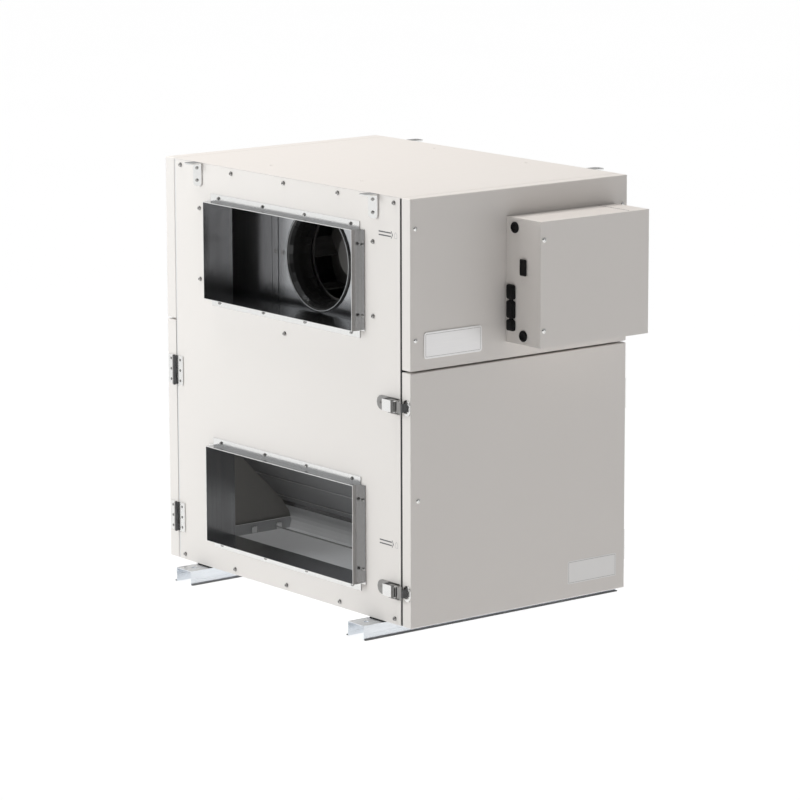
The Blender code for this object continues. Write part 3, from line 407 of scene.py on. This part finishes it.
def core_strips():
    finish = Finish("core_strips", (0.62, 0.62, 0.62), 0.7, 0.38)
    finish.tint(finish.noise(50.0, 3.0), (0.52, 0.52, 0.52))
    finish.shine(finish.noise(200.0), 0.32, 0.46)
    return finish.material


def seal_rubber():
    finish = Finish("seal_rubber", (0.018, 0.018, 0.019), 0.0, 0.75)
    finish.tint(finish.noise(500.0), (0.028, 0.028, 0.029))
    finish.bumps(finish.noise(1200.0), 0.3, 0.0003)
    return finish.material


# The back seal is a light grey copy of the seal rubber: painted light in the back joint.
def lit_seal_rubber():
    finish = Finish("grey_seal", (0.66, 0.655, 0.65), 0.0, 0.80)
    finish.tint(finish.noise(500.0), (0.60, 0.595, 0.59))
    finish.bumps(finish.noise(1200.0), 0.3, 0.0003)
    return finish.material


def black_plastic():
    finish = Finish("black_plastic", (0.006, 0.006, 0.0065), 0.0, 0.42)
    finish.shader.inputs["Specular IOR Level"].default_value = 0.12
    finish.shine(finish.noise(180.0), 0.38, 0.50)
    finish.tint(finish.noise(30.0), (0.009, 0.009, 0.0095))
    finish.bumps(finish.noise(1500.0), 0.05, 0.0001)
    return finish.material


def gloss_black():
    finish = Finish("gloss_black", (0.014, 0.0135, 0.013), 0.0, 0.14)
    finish.shine(finish.noise(40.0, 3.0), 0.10, 0.20)
    finish.tint(finish.noise(12.0), (0.020, 0.0195, 0.019))
    finish.bumps(finish.noise(26.0), 0.06, 0.0010)
    return finish.material


def wheel_plastic():
    finish = Finish("wheel_plastic", (0.085, 0.081, 0.077), 0.0, 0.30)
    finish.shine(finish.noise(60.0, 3.0), 0.28, 0.40)
    finish.tint(finish.noise(20.0), (0.10, 0.095, 0.090))
    finish.bumps(finish.noise(90.0), 0.04, 0.0004)
    return finish.material


def silver_plate():
    finish = Finish("silver_plate", (0.90, 0.89, 0.885), 0.45, 0.34)
    brushed = finish.noise(1.0, 2.0, finish.stretched((30.0, 1.0, 2400.0)))
    finish.tint(brushed, (0.82, 0.81, 0.81))
    finish.shine(brushed, 0.28, 0.40)
    return finish.material


def label_film():
    finish = Finish("label_film", (0.80, 0.79, 0.78), 0.0, 0.30)
    finish.tint(finish.noise(18.0), (0.78, 0.77, 0.76))
    finish.shine(finish.noise(90.0), 0.26, 0.36)
    return finish.material


def dark_ink():
    finish = Finish("dark_ink", (0.10, 0.10, 0.105), 0.0, 0.55)
    finish.tint(finish.noise(700.0), (0.13, 0.13, 0.135))
    return finish.material


def pale_ink():
    finish = Finish("pale_ink", (0.44, 0.43, 0.42), 0.0, 0.55)
    finish.tint(finish.noise(700.0), (0.50, 0.49, 0.48))
    return finish.material


POWDER = powder_coat()
GALVANIZED = galvanized()
INNER_SHEET = inner_sheet()
SHADED = shaded_sheet()
RAIL = rail_sheet()
SCREW = screw_zinc()
LINER = door_liner()
GREY = grey_sheet()
ZINC = zinc()
DULL = dull_zinc()
DARK = dark_steel()
CORE = core_plates()
STRIPS = core_strips()
RUBBER = seal_rubber()
LIT_SEAL = lit_seal_rubber()
PLASTIC = black_plastic()
GLOSS = gloss_black()
WHEEL = wheel_plastic()
SILVER = silver_plate()
LABEL = label_film()
INK = dark_ink()
PALE_INK = pale_ink()

NODE_FINISHES = (
    (("duct_collar", "fan_deck"), GALVANIZED),
    (("fan_frame",), INNER_SHEET),
    (("floor_rail",), RAIL),
    (("base_panel",), GREY),
    (("hanging_bracket", "hinge_", "latch_"), ZINC),
    (("exchanger_core",), CORE),
    (("seal_front",), RUBBER),
    (("seal_back",), LIT_SEAL),
    (("inlet_ring",), GLOSS),
    (("fan_wheel",), WHEEL),
    (("cable_grommet", "signal_socket", "terminal_strip"), PLASTIC),
    (("name_plate",), SILVER),
)


def dress_nodes():
    for name, node in NODES.items():
        node.data.materials.clear()
        node.data.materials.append(POWDER)
        for starts, stuff in NODE_FINISHES:
            if name.startswith(starts):
                node.data.materials[0] = stuff
        for start, end, stuff, chosen in SECOND_FINISHES:
            if name.startswith(start) and name.endswith(end):
                dress_part(node, stuff, chosen)


def dress_part(node, stuff, chosen):
    # Another finish on the faces that are chosen by their middle and their normal.
    node.data.materials.append(stuff)
    index = len(node.data.materials) - 1
    for face in node.data.polygons:
        if chosen(face.center, face.normal):
            face.material_index = index


def everywhere(middle, normal):
    return True


def stands_out(middle, normal):
    return abs(middle.x) > abs(END_X) + LEAF_OUT


def on_barrel_back(middle, normal):
    # The part of the barrel that looks to the door's side.
    to_door = -math.copysign(1.0, middle.x) * normal.y
    return stands_out(middle, normal) and to_door > BARREL_BACK


def on_core_rib(middle, normal):
    across = abs(middle.x - CORE_MIDDLE.x) + abs(middle.z - CORE_MIDDLE.z)
    return across > CORE_HALF + RIB_OUT


def along_x(middle, normal):
    return abs(normal.x) > SQUARE_ON


def along_y(middle, normal):
    return abs(normal.y) > SQUARE_ON


def on_top(middle, normal):
    return normal.z > SQUARE_ON


def on_door_inside(middle, normal):
    return along_y(middle, normal) and abs(middle.y - BASE.y) < DOOR_INSIDE_Y


# The faces of the rest just under the core, which get a painted shadow.
def in_core_shadow(middle, normal):
    return middle.z - BASE.z > REST_SHADOW_Z


def on_rail_lip(middle, normal):
    return middle.z < RAIL_LIP_TOP


def on_rail_seat(middle, normal):
    return middle.z > RAIL_HIGH - RAIL_SEAT


SECOND_FINISHES = (
    # On the collars the side walls take the darker sheet, a painted shade and dark reflection, and the
    # faces along X take bright zinc, a painted reflection of the pale floor.
    ("duct_collar_", "", SHADED, along_y),
    ("duct_collar_", "", ZINC, along_x),
    ("", "_door", LINER, on_door_inside),
    # The top of the rest under the core is in the darker sheet: a painted shadow of the core.
    ("base_panel", "", SHADED, in_core_shadow),
    # The hinge barrels are dark steel with a grey band on the side towards the door: painted dark
    # reflection, with a painted lighter reflection on that band.
    ("hinge_", "leaf", DARK, stands_out),
    ("hinge_", "leaf", SCREW, on_barrel_back),
    ("exchanger_core", "", INNER_SHEET, along_y),
    ("exchanger_core", "", STRIPS, on_core_rib),
    ("latch_", "_base", DULL, everywhere),
    ("latch_", "_hook", DULL, everywhere),
    # The lever's top faces are dark steel: painted shade and dark reflection.
    ("latch_", "_lever", DARK, on_top),
    # The part of each keeper that stands out from the panel is dark steel: painted shade between hook
    # and keeper.
    ("latch_", "_keeper", DARK, stands_out),
    # The low lips of the rails are dark steel: painted shade.
    ("floor_rail", "", DARK, on_rail_lip),
    # The seat on top of the rails is in black seal rubber: a painted shadow line under the cabinet.
    ("floor_rail", "", RUBBER, on_rail_seat),
)


# Placing
NEAR = Matrix.Translation(BASE)
FAR = NEAR @ Matrix.Rotation(math.pi, 4, "Z")


def corners(node, end):
    # The node's lowest and highest corners as seen from its own end.
    low, high = (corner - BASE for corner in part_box(node))
    if end is FAR:
        low, high = Vector((-high.x, -high.y, low.z)), Vector((-low.x, -low.y, high.z))
    return low, high


def facing(end, point, out, up=(0.0, 0.0, 1.0)):
    # The place's own Z looks out of the surface and its own Y looks up along it.
    outward = Vector(out).normalized()
    upward = Vector(up)
    across = upward.cross(outward)
    turn = Matrix((across, upward, outward)).transposed()
    return end @ Matrix.Translation(point) @ turn.to_4x4()


def finish_piece(name, work, stuff, body, smooth=0.0):
    bmesh.ops.remove_doubles(work, verts=work.verts, dist=0.000001)
    bmesh.ops.recalc_face_normals(work, faces=work.faces)
    mesh = bpy.data.meshes.new(name)
    work.to_mesh(mesh)
    work.free()
    piece = bpy.data.objects.new(name, mesh)
    bpy.context.scene.collection.objects.link(piece)
    mesh.materials.append(stuff)
    if smooth:
        mesh.shade_smooth()
        mesh.set_sharp_from_angle(angle=smooth)
    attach(piece, body)
    return piece


def ring(work, place, radius, height, steps, turn=0.0):
    points = []
    for step in range(steps):
        angle = turn + 2 * math.pi * step / steps
        spot = Vector((radius * math.cos(angle), radius * math.sin(angle), height))
        points.append(work.verts.new(place @ spot))
    return points


def bridge(work, lower, upper):
    count = len(lower)
    for index in range(count):
        after = (index + 1) % count
        work.faces.new((lower[index], lower[after], upper[after], upper[index]))


def turned(work, place, profile, steps, turn=0.0):
    # The profile is (radius, height) from the outer foot to the middle, closed below by a disc.
    rings = [ring(work, place, radius, height, steps, turn) for radius, height in profile]
    for lower, upper in zip(rings, rings[1:]):
        bridge(work, lower, upper)
    work.faces.new(rings[0][::-1])
    work.faces.new(rings[-1])


def extruded(work, place, outline, low, high):
    foot = [work.verts.new(place @ Vector((a, b, low))) for a, b in outline]
    head = [work.verts.new(place @ Vector((a, b, high))) for a, b in outline]
    bridge(work, foot, head)
    work.faces.new(foot[::-1])
    work.faces.new(head)


def strip(work, place, low, high, thick, rise=0.0):
    extruded(work, place, [low, (high[0], low[1]), high, (low[0], high[1])], rise, rise + thick)


def rounded(low, high, radius, steps=5):
    points = []
    corners = ((low[0], low[1]), (high[0], low[1]), (high[0], high[1]), (low[0], high[1]))
    signs = ((1, 1), (-1, 1), (-1, -1), (1, -1))
    for index, (corner, sign) in enumerate(zip(corners, signs)):
        centre = (corner[0] + sign[0] * radius, corner[1] + sign[1] * radius)
        for step in range(steps + 1):
            angle = math.pi + (index + step / steps) * math.pi / 2
            across = centre[0] + radius * math.cos(angle)
            points.append((across, centre[1] + radius * math.sin(angle)))
    return points


# Fasteners
def scaled(profile, radius):
    return [(radius * out, radius * up) for out, up in profile]


def hex_head(work, place, radius, turn):
    turned(work, place, scaled(WASHER, radius), WASHER_SIDES)
    turned(work, place, scaled(HEXAGON, radius), 6, turn)


def dome_head(work, place, radius, turn):
    turned(work, place, scaled(DOME, radius), DOME_SIDES, turn)


def flat_head(work, place, radius, turn):
    turned(work, place, scaled(DISC, radius), DISC_SIDES, turn)


def screws(name, places, head, radius, body, stuff=ZINC):
    # The heads are turned by different amounts, as hand driven screws are.
    work = bmesh.new()
    for index, place in enumerate(places):
        head(work, place, radius, index * TURN_STEP)
    finish_piece(name, work, stuff, body, SHARP)


def end_screws(side, end):
    places = []
    for index in range(-2, 3):
        for z in END_ROW_ZS:
            places.append((index * END_ROW_PITCH, z))
    places.append((0.0, END_MIDDLE_Z))
    for y in (-PORT_SIDE_Y, PORT_SIDE_Y):
        for z in PORT_SIDE_ZS:
            places.append((y, z))
    spots = [facing(end, (END_X, y, z), (-1, 0, 0)) for y, z in places]
    screws(f"screws_end_{side}", spots, hex_head, HEAD_R, "cabinet", SCREW)


def flange_screws(side, end):
    half_z = (UPPER_HIGH.z - UPPER_LOW.z) / 2 - FLANGE_MIDDLE
    half_y = (UPPER_HIGH.y - UPPER_LOW.y) / 2 - FLANGE_MIDDLE
    for level, middle in zip(("upper", "lower"), PORT_ZS):
        places = [(y, middle + up * half_z) for y in FLANGE_YS for up in (-1, 1)]
        places += [(out * half_y, middle + z) for z in FLANGE_ZS for out in (-1, 1)]
        spots = [facing(end, (FLANGE_X, y, z), (-1, 0, 0)) for y, z in places]
        screws(f"screws_collar_{side}_{level}", spots, hex_head, SMALL_HEAD_R, "cabinet", SCREW)


def bracket_screws(side, end):
    x = FLANGE_X + FLANGE_SHEET - BRACKET_SHEET
    places = [(y, z) for y in (-BRACKET_Y, BRACKET_Y) for z in BRACKET_SCREW_ZS]
    spots = [facing(end, (x, y, z), (-1, 0, 0)) for y, z in places]
    screws(f"screws_bracket_{side}", spots, hex_head, SMALL_HEAD_R, "cabinet", SCREW)


def panel_screws(side, end):
    places = [(x, z) for x in (-PANEL_SCREW_X, PANEL_SCREW_X) for z in PANEL_SCREW_ZS]
    spots = [facing(end, (x, PANEL_FACES[side], z), (0, -1, 0)) for x, z in places]
    screws(f"screws_{side}_panel", spots, dome_head, HEAD_R, "cabinet")
    x, z = DOOR_SCREW
    spots = [facing(end, (x, PANEL_FACES[side], z), (0, -1, 0))]
    screws(f"screws_{side}_door", spots, dome_head, HEAD_R, f"{side}_door")


def roof_screws():
    places = [(x, y) for x in ROOF_SCREW_XS for y in ROOF_SCREW_YS]
    spots = [facing(NEAR, (x, y, TOP_Z), (0, 0, 1), (0, 1, 0)) for x, y in places]
    screws("screws_roof", spots, flat_head, HEAD_R, "cabinet", POWDER)


def cover_screws():
    spots = [facing(NEAR, (COVER_SCREW_X, COVER_LOW.y, z), (0, -1, 0)) for z in COVER_SCREW_ZS]
    screws("screws_cover", spots, dome_head, COVER_HEAD_R, "cabinet")


# Sheet metal details
def bulkhead_joint(side, end):
    # The lap of the bulkhead's two sheets, with a screw in it and one beside it.
    place = facing(end, (BULKHEAD_X, 0.0, 0.0), (-1, 0, 0))
    low, high = LAP_ZS
    lap = bmesh.new()
    strip(lap, place, (-LAP_YS[1], low), (-LAP_YS[0], high), LAP_SHEET)
    finish_piece(f"bulkhead_lap_{side}", lap, INNER_SHEET, "cabinet")
    edges = bmesh.new()
    for y in LAP_YS:
        strip(edges, place, (-y - LAP_EDGE / 2, low), (-y + LAP_EDGE / 2, high), LAP_SHEET + FILM)
    finish_piece(f"bulkhead_lap_edges_{side}", edges, DARK, "cabinet")
    spots = [facing(end, (BULKHEAD_X - LAP_SHEET, LAP_SCREW_YS[0], LAP_SCREW_Z), (-1, 0, 0))]
    spots += [facing(end, (BULKHEAD_X, LAP_SCREW_YS[1], LAP_SCREW_Z), (-1, 0, 0))]
    screws(f"screws_bulkhead_{side}", spots, hex_head, HEAD_R, "cabinet", SCREW)


def rim_highlight(side, end):
    # A thin grey band on the lip of the inlet ring: a painted highlight along its turned edge.
    place = facing(end, (RING_LOW.x, 0.0, (RING_LOW.z + RING_HIGH.z) / 2), (-1, 0, 0))
    radius = (RING_HIGH.z - RING_LOW.z) / 2 - RIM_IN
    outlines = []
    for reach in (radius, radius - RIM_WIDTH):
        turns = (2 * math.pi * step / RIM_STEPS for step in range(RIM_STEPS))
        outlines.append([(reach * math.cos(turn), reach * math.sin(turn)) for turn in turns])
    work = bmesh.new()
    banded(work, place, *outlines, RIM_THICK)
    finish_piece(f"inlet_ring_rim_{side}", work, GREY, "cabinet", SHARP)


def roof_joint(side, end):
    # The filled joint between the roof and the upper panel, flush with both.
    work = bmesh.new()
    place = facing(end, (0.0, 0.0, TOP_Z), (0, 0, 1), (0, 1, 0))
    low = (-JOINT_HALF, PANEL_BACK + JOINT_CLEAR)
    high = (JOINT_HALF, -HALF_Y - JOINT_CLEAR)
    strip(work, place, low, high, JOINT_DEEP, -JOINT_DEEP - JOINT_CLEAR)
    finish_piece(f"roof_joint_{side}", work, POWDER, "cabinet")


def latch_grip(node, body, end):
    # A ribbed grip on the free end of the lever.
    low, high = corners(node, end)
    place = facing(end, (low.x + GRIP_SINK, low.y, (low.z + high.z) / 2), (-1, 0, 0))
    half = (high.z - low.z) / 2 - GRIP_INSET
    work = bmesh.new()
    strip(work, place, (-GRIP_YS[1], -half), (-GRIP_YS[0], half), GRIP_SHEET)
    for index in range(GRIP_RIBS):
        y = GRIP_YS[0] + (index + 0.5) * (GRIP_YS[1] - GRIP_YS[0]) / GRIP_RIBS
        strip(work, place, (-y - GRIP_RIB / 2, -half), (-y + GRIP_RIB / 2, half), GRIP_RIB, GRIP_SHEET)
    finish_piece(f"{node}_grip", work, DULL, body)


def rest_foot():
    # The folded bead along the foot of the core's rest.
    place = facing(NEAR, (0.0, 0.0, FOOT_Z), (0, 0, 1), (0, 1, 0))
    work = bmesh.new()
    for side in (-1, 1):
        near_x, far_x = sorted((side * FOOT_XS[0], side * FOOT_XS[1]))
        strip(work, place, (near_x, -FOOT_HALF), (far_x, FOOT_HALF), FOOT_THICK)
        ridge = sorted((side * FOOT_XS[0], side * (FOOT_XS[0] + FOOT_THICK)))
        strip(work, place, (ridge[0], -FOOT_HALF), (ridge[1], FOOT_HALF), FOOT_THICK, FOOT_THICK)
    finish_piece("rest_foot", work, ZINC, "cabinet")


def core_frame(side, end):
    # The folded edge of the sheet that closes the core's end.
    middle = facing(end, (0.0, CORE_LOW.y - BASE.y, CORE_MIDDLE.z - BASE.z), (0, -1, 0))
    reach = CORE_HALF - CORE_EDGE
    outlines = []
    for out in (reach, reach - CORE_EDGE_WIDTH):
        outlines.append([(out, 0.0), (0.0, out), (-out, 0.0), (0.0, -out)])
    work = bmesh.new()
    banded(work, middle, *outlines, CORE_EDGE_THICK)
    finish_piece(f"core_frame_{side}", work, ZINC, "cabinet")


def sill_clips(side, end):
    # Bent sheet clips on the inner face of the sill, with a small lip near the top.
    face_y = -HALF_Y + SILL_SHEET
    work = bmesh.new()
    for x in CLIP_XS:
        place = facing(end, (x, face_y, CLIP_LOW_Z), (0, 1, 0))
        half = CLIP_WIDTH / 2
        outline = rounded((-half, 0.0), (half, CLIP_HEIGHT), CLIP_CORNER, 2)
        extruded(work, place, outline, 0.0, CLIP_OUT)
        drop, inset = CLIP_LIP
        low = (-half + inset, CLIP_HEIGHT - drop)
        high = (half - inset, CLIP_HEIGHT - inset)
        extruded(work, place, rounded(low, high, inset, 2), CLIP_OUT, CLIP_OUT + CLIP_LIP_OUT)
    finish_piece(f"sill_clips_{side}", work, ZINC, "cabinet")


def leaf_screws(node, body, end):
    # Three countersunk screws in a row, in the wide part of the leaf.
    low, high = corners(node, end)
    middle_z = (low.z + high.z) / 2
    y = low.y + LEAF_SCREW_IN if node.endswith("fixed_leaf") else high.y - LEAF_SCREW_IN
    rises = [middle_z + k * LEAF_SCREW_PITCH for k in (-1, 0, 1)]
    spots = [facing(end, (LEAF_X, y, z), (-1, 0, 0)) for z in rises]
    screws(f"screws_{node}", spots, flat_head, LEAF_HEAD_R, body, DULL)


def keeper_screws(node, body, end):
    low, high = corners(node, end)
    y = low.y + KEEPER_SCREW_IN[0]
    rises = (low.z + KEEPER_SCREW_IN[1], high.z - KEEPER_SCREW_IN[1])
    spots = [facing(end, (LATCH_X, y, z), (-1, 0, 0)) for z in rises]
    screws(f"screws_{node}", spots, flat_head, KEEPER_HEAD_R, body)


def base_screw(node, end):
    low, high = corners(node, end)
    spots = [facing(end, (LATCH_X, high.y - BASE_SCREW_IN, (low.z + high.z) / 2), (-1, 0, 0))]
    screws(f"screws_{node}", spots, flat_head, SMALL_HEAD_R, "cabinet", DULL)


# Printing
def air_sign(side, level, middle, end):
    # Two bars and an arrow head for the stream of air, then the outline of a house.
    place = facing(end, (END_X, 0.0, middle), (-1, 0, 0))
    bars = bmesh.new()
    head = -(SIGN_TO_Y + SIGN_HEAD)
    for rise in SIGN_BAR_RISES:
        bar = [(-SIGN_Y, rise), (head, rise), (head, rise + SIGN_BAR), (-SIGN_Y, rise + SIGN_BAR)]
        extruded(bars, place, bar, 0.0, FILM)
    at_tip, at_foot = SIGN_HEAD_LINE
    for half in (SIGN_HEAD_HALF, -SIGN_HEAD_HALF):
        tip = [(head, half), (-SIGN_TO_Y, 0.0), (-SIGN_TO_Y + at_tip, 0.0), (head + at_foot, half)]
        extruded(bars, place, tip, 0.0, FILM)
    finish_piece(f"sign_stream_{side}_{level}", bars, INK, "cabinet")
    house = bmesh.new()
    outlines = [[(a - HOUSE_Y, b) for a, b in outline] for outline in (HOUSE_OUTER, HOUSE_INNER)]
    banded(house, place, *outlines)
    finish_piece(f"sign_house_{side}_{level}", house, PALE_INK, "cabinet")


def banded(work, place, outer, inner, thick=FILM):
    # A flat closed band between two outlines with the same number of points.
    rows = []
    for outline, height in ((outer, 0.0), (outer, thick), (inner, thick), (inner, 0.0)):
        rows.append([work.verts.new(place @ Vector((a, b, height))) for a, b in outline])
    for lower, upper in zip(rows, rows[1:] + rows[:1]):
        bridge(work, lower, upper)


def printed_frame(name, place, half, radius, inset, body):
    outer = (half[0] - inset, half[1] - inset)
    inner = (outer[0] - PRINT_LINE, outer[1] - PRINT_LINE)
    work = bmesh.new()
    outer_row = rounded((-outer[0], -outer[1]), outer, max(radius - inset, 0.0012))
    inner_row = rounded((-inner[0], -inner[1]), inner, max(radius - inset - PRINT_LINE, 0.0006))
    banded(work, place, outer_row, inner_row)
    finish_piece(name, work, PALE_INK, body)


def name_plate_line():
    # The plate is bare but for a thin line around it.
    centre = (PLATE_LOW + PLATE_HIGH) / 2
    half = ((PLATE_HIGH.x - PLATE_LOW.x) / 2, (PLATE_HIGH.z - PLATE_LOW.z) / 2)
    place = facing(NEAR, (centre.x, PLATE_LOW.y, centre.z), (0, -1, 0))
    printed_frame("name_plate_line", place, half, PLATE_CORNER, PLATE_INSET, "cabinet")


def door_label():
    # A bare label with a thin line around it.
    x, z = LABEL_PLACE
    place = facing(NEAR, (x, PANEL_FACE, z), (0, -1, 0))
    half = (LABEL_SIZE[0] / 2, LABEL_SIZE[1] / 2)
    sheet = bmesh.new()
    extruded(sheet, place, rounded((-half[0], -half[1]), half, LABEL_CORNER), 0.0, LABEL_THICK)
    finish_piece("door_label", sheet, LABEL, "front_door")
    raised = place @ Matrix.Translation((0.0, 0.0, LABEL_THICK))
    printed_frame("door_label_line", raised, half, LABEL_CORNER, LABEL_INSET, "front_door")


def box_joint():
    # The edge of the cover's turned-in end, on the roof of the control box.
    work = bmesh.new()
    place = facing(NEAR, (0.0, 0.0, COVER_HIGH.z), (0, 0, 1), (0, 1, 0))
    low = (BOX_JOINT_X - BOX_JOINT / 2, BOX_JOINT_YS[0])
    high = (BOX_JOINT_X + BOX_JOINT / 2, BOX_JOINT_YS[1])
    strip(work, place, low, high, FILM)
    finish_piece("box_joint", work, INK, "cabinet")


def terminal_plugs():
    # Three plugs on a narrow carrier.
    width = STRIP_HIGH.y - STRIP_LOW.y
    middle_y = (STRIP_LOW.y + STRIP_HIGH.y) / 2
    place = facing(NEAR, (BOX_SIDE, middle_y, STRIP_LOW.z), (-1, 0, 0))
    out = BOX_SIDE - STRIP_LOW.x
    height = STRIP_HIGH.z - STRIP_LOW.z
    work = bmesh.new()
    half, depth = width * CARRIER_SHARE[0], out * CARRIER_SHARE[1]
    carrier = rounded((-half, CARRIER_IN), (half, height - CARRIER_IN), CARRIER_CORNER)
    extruded(work, place, carrier, 0.0, depth)
    face = out * PLUG_OUT_SHARE
    half = width * PLUG_INSET_SHARE
    for low, high in PLUG_ENDS:
        outline = rounded((-width / 2, low), (width / 2, high), PLUG_CORNER)
        extruded(work, place, outline, 0.0, face)
        inset = rounded((-half, low + PLUG_INSET), (half, high - PLUG_INSET), CARRIER_CORNER)
        extruded(work, place, inset, face, out)
    piece = finish_piece("terminal_plugs", work, PLASTIC, "cabinet")
    edge = piece.modifiers.new("soft_edges", "BEVEL")
    edge.width = PLUG_BEVEL
    edge.segments = 2
    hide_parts("terminal_strip")


# Stage
def floor():
    work = bmesh.new()
    bmesh.ops.create_grid(work, x_segments=1, y_segments=1, size=FLOOR_HALF)
    mesh = bpy.data.meshes.new("floor")
    work.to_mesh(mesh)
    work.free()
    ground = bpy.data.objects.new("floor", mesh)
    bpy.context.scene.collection.objects.link(ground)
    pale = Finish("pale_floor", (0.90, 0.90, 0.90), 0.0, 0.8)
    pale.tint(pale.noise(0.8), (0.89, 0.89, 0.89))
    mesh.materials.append(pale.material)
    return ground


def studio_sky():
    # Even white, darker around the camera, which gives the bright metal its contrast.
    world = bpy.data.worlds.new("studio")
    bpy.context.scene.world = world
    world.use_nodes = True
    tree = world.node_tree
    sky = tree.nodes["Background"]
    sky.inputs["Color"].default_value = (1.0, 1.0, 1.0, 1.0)
    towards = tree.nodes.new("ShaderNodeVectorMath")
    towards.operation = "DOT_PRODUCT"
    towards.inputs[1].default_value = DARK_SIDE
    tree.links.new(tree.nodes.new("ShaderNodeTexCoord").outputs["Generated"], towards.inputs[0])
    level = tree.nodes.new("ShaderNodeMapRange")
    level.interpolation_type = "SMOOTHSTEP"
    level.inputs["From Min"].default_value = DARK_FROM
    level.inputs["From Max"].default_value = DARK_TO
    level.inputs["To Min"].default_value = SKY
    level.inputs["To Max"].default_value = SKY_DARK
    tree.links.new(towards.outputs["Value"], level.inputs["Value"])
    tree.links.new(level.outputs["Result"], sky.inputs["Strength"])


def softbox(name, towards, size, power, colour):
    light = bpy.data.lights.new(name, "AREA")
    light.shape = "SQUARE"
    light.size = size
    light.energy = power
    light.color = colour
    lamp = bpy.data.objects.new(name, light)
    away = towards.normalized() * LAMP_AWAY
    lamp.location = away + Vector((0.0, 0.0, BASE.z + TOP_Z / 2))
    lamp.rotation_euler = away.to_track_quat("Z", "Y").to_euler()
    return lamp


def wash(name, towards, strength):
    # Light without shadows, for surfaces that only need a level.
    light = bpy.data.lights.new(name, "SUN")
    light.energy = strength
    light.use_shadow = False
    lamp = bpy.data.objects.new(name, light)
    lamp.rotation_euler = towards.to_track_quat("Z", "Y").to_euler()
    return lamp


def lights(ground):
    studio_sky()
    key = softbox("key", KEY_FROM, KEY_SIZE, KEY_POWER, KEY_COLOUR)
    key.visible_glossy = False
    roof = softbox("roof", ROOF_FROM, ROOF_SIZE, ROOF_POWER, ROOF_COLOUR)
    floor_wash = wash("floor_wash", Vector((0.0, 0.0, 1.0)), FLOOR_LIGHT)
    inner_wash = wash("inner_wash", INNER_FROM, INNER_LIGHT)
    links = [(floor_wash, ground, "INCLUDE"), (key, ground, "EXCLUDE"), (roof, ground, "EXCLUDE")]
    links += [(inner_wash, NODES["base_panel"], "INCLUDE")]
    for lamp, receiver, state in links:
        receivers = bpy.data.collections.new(f"{lamp.name}_receivers")
        receivers.objects.link(receiver)
        receivers.collection_objects[0].light_linking.link_state = state
        lamp.light_linking.receiver_collection = receivers
        bpy.context.scene.collection.objects.link(lamp)


def camera():
    lens = bpy.data.cameras.new("camera")
    lens.sensor_width = SENSOR
    lens.lens = CAMERA_LENS
    lens.clip_end = 200.0
    eye = bpy.data.objects.new("camera", lens)
    bpy.context.scene.collection.objects.link(eye)
    turn = Matrix.Rotation(CAMERA_YAW, 4, "Z") @ Matrix.Rotation(CAMERA_TILT, 4, "X")
    roll = Matrix.Rotation(CAMERA_ROLL, 4, "Z")
    eye.matrix_world = Matrix.Translation(CAMERA_PLACE) @ turn @ roll
    bpy.context.scene.camera = eye


# Assembly
dress_nodes()
for side, end in (("left", NEAR), ("right", FAR)):
    end_screws(side, end)
    flange_screws(side, end)
    bracket_screws(side, end)
    bulkhead_joint(side, end)
    rim_highlight(side, end)
    for level, middle, lift in zip(("upper", "lower"), PORT_ZS, SIGN_LIFTS):
        air_sign(side, level, middle + lift, end)
for side, end, hinge_end in (("front", NEAR, FAR), ("back", FAR, NEAR)):
    panel_screws(side, end)
    sill_clips(side, end)
    core_frame(side, end)
    roof_joint(side, end)
    for level in ("upper", "lower"):
        leaf_screws(f"hinge_{side}_{level}_fixed_leaf", "cabinet", hinge_end)
        leaf_screws(f"hinge_{side}_{level}_door_leaf", f"{side}_door", hinge_end)
        keeper_screws(f"latch_{side}_{level}_keeper", f"{side}_door", end)
        base_screw(f"latch_{side}_{level}_base", end)
        latch_grip(f"latch_{side}_{level}_lever", f"latch_{side}_{level}_lever", end)
roof_screws()
cover_screws()
rest_foot()
name_plate_line()
door_label()
box_joint()
terminal_plugs()

camera()
lights(floor())
bpy.context.scene.view_settings.view_transform = "Standard"
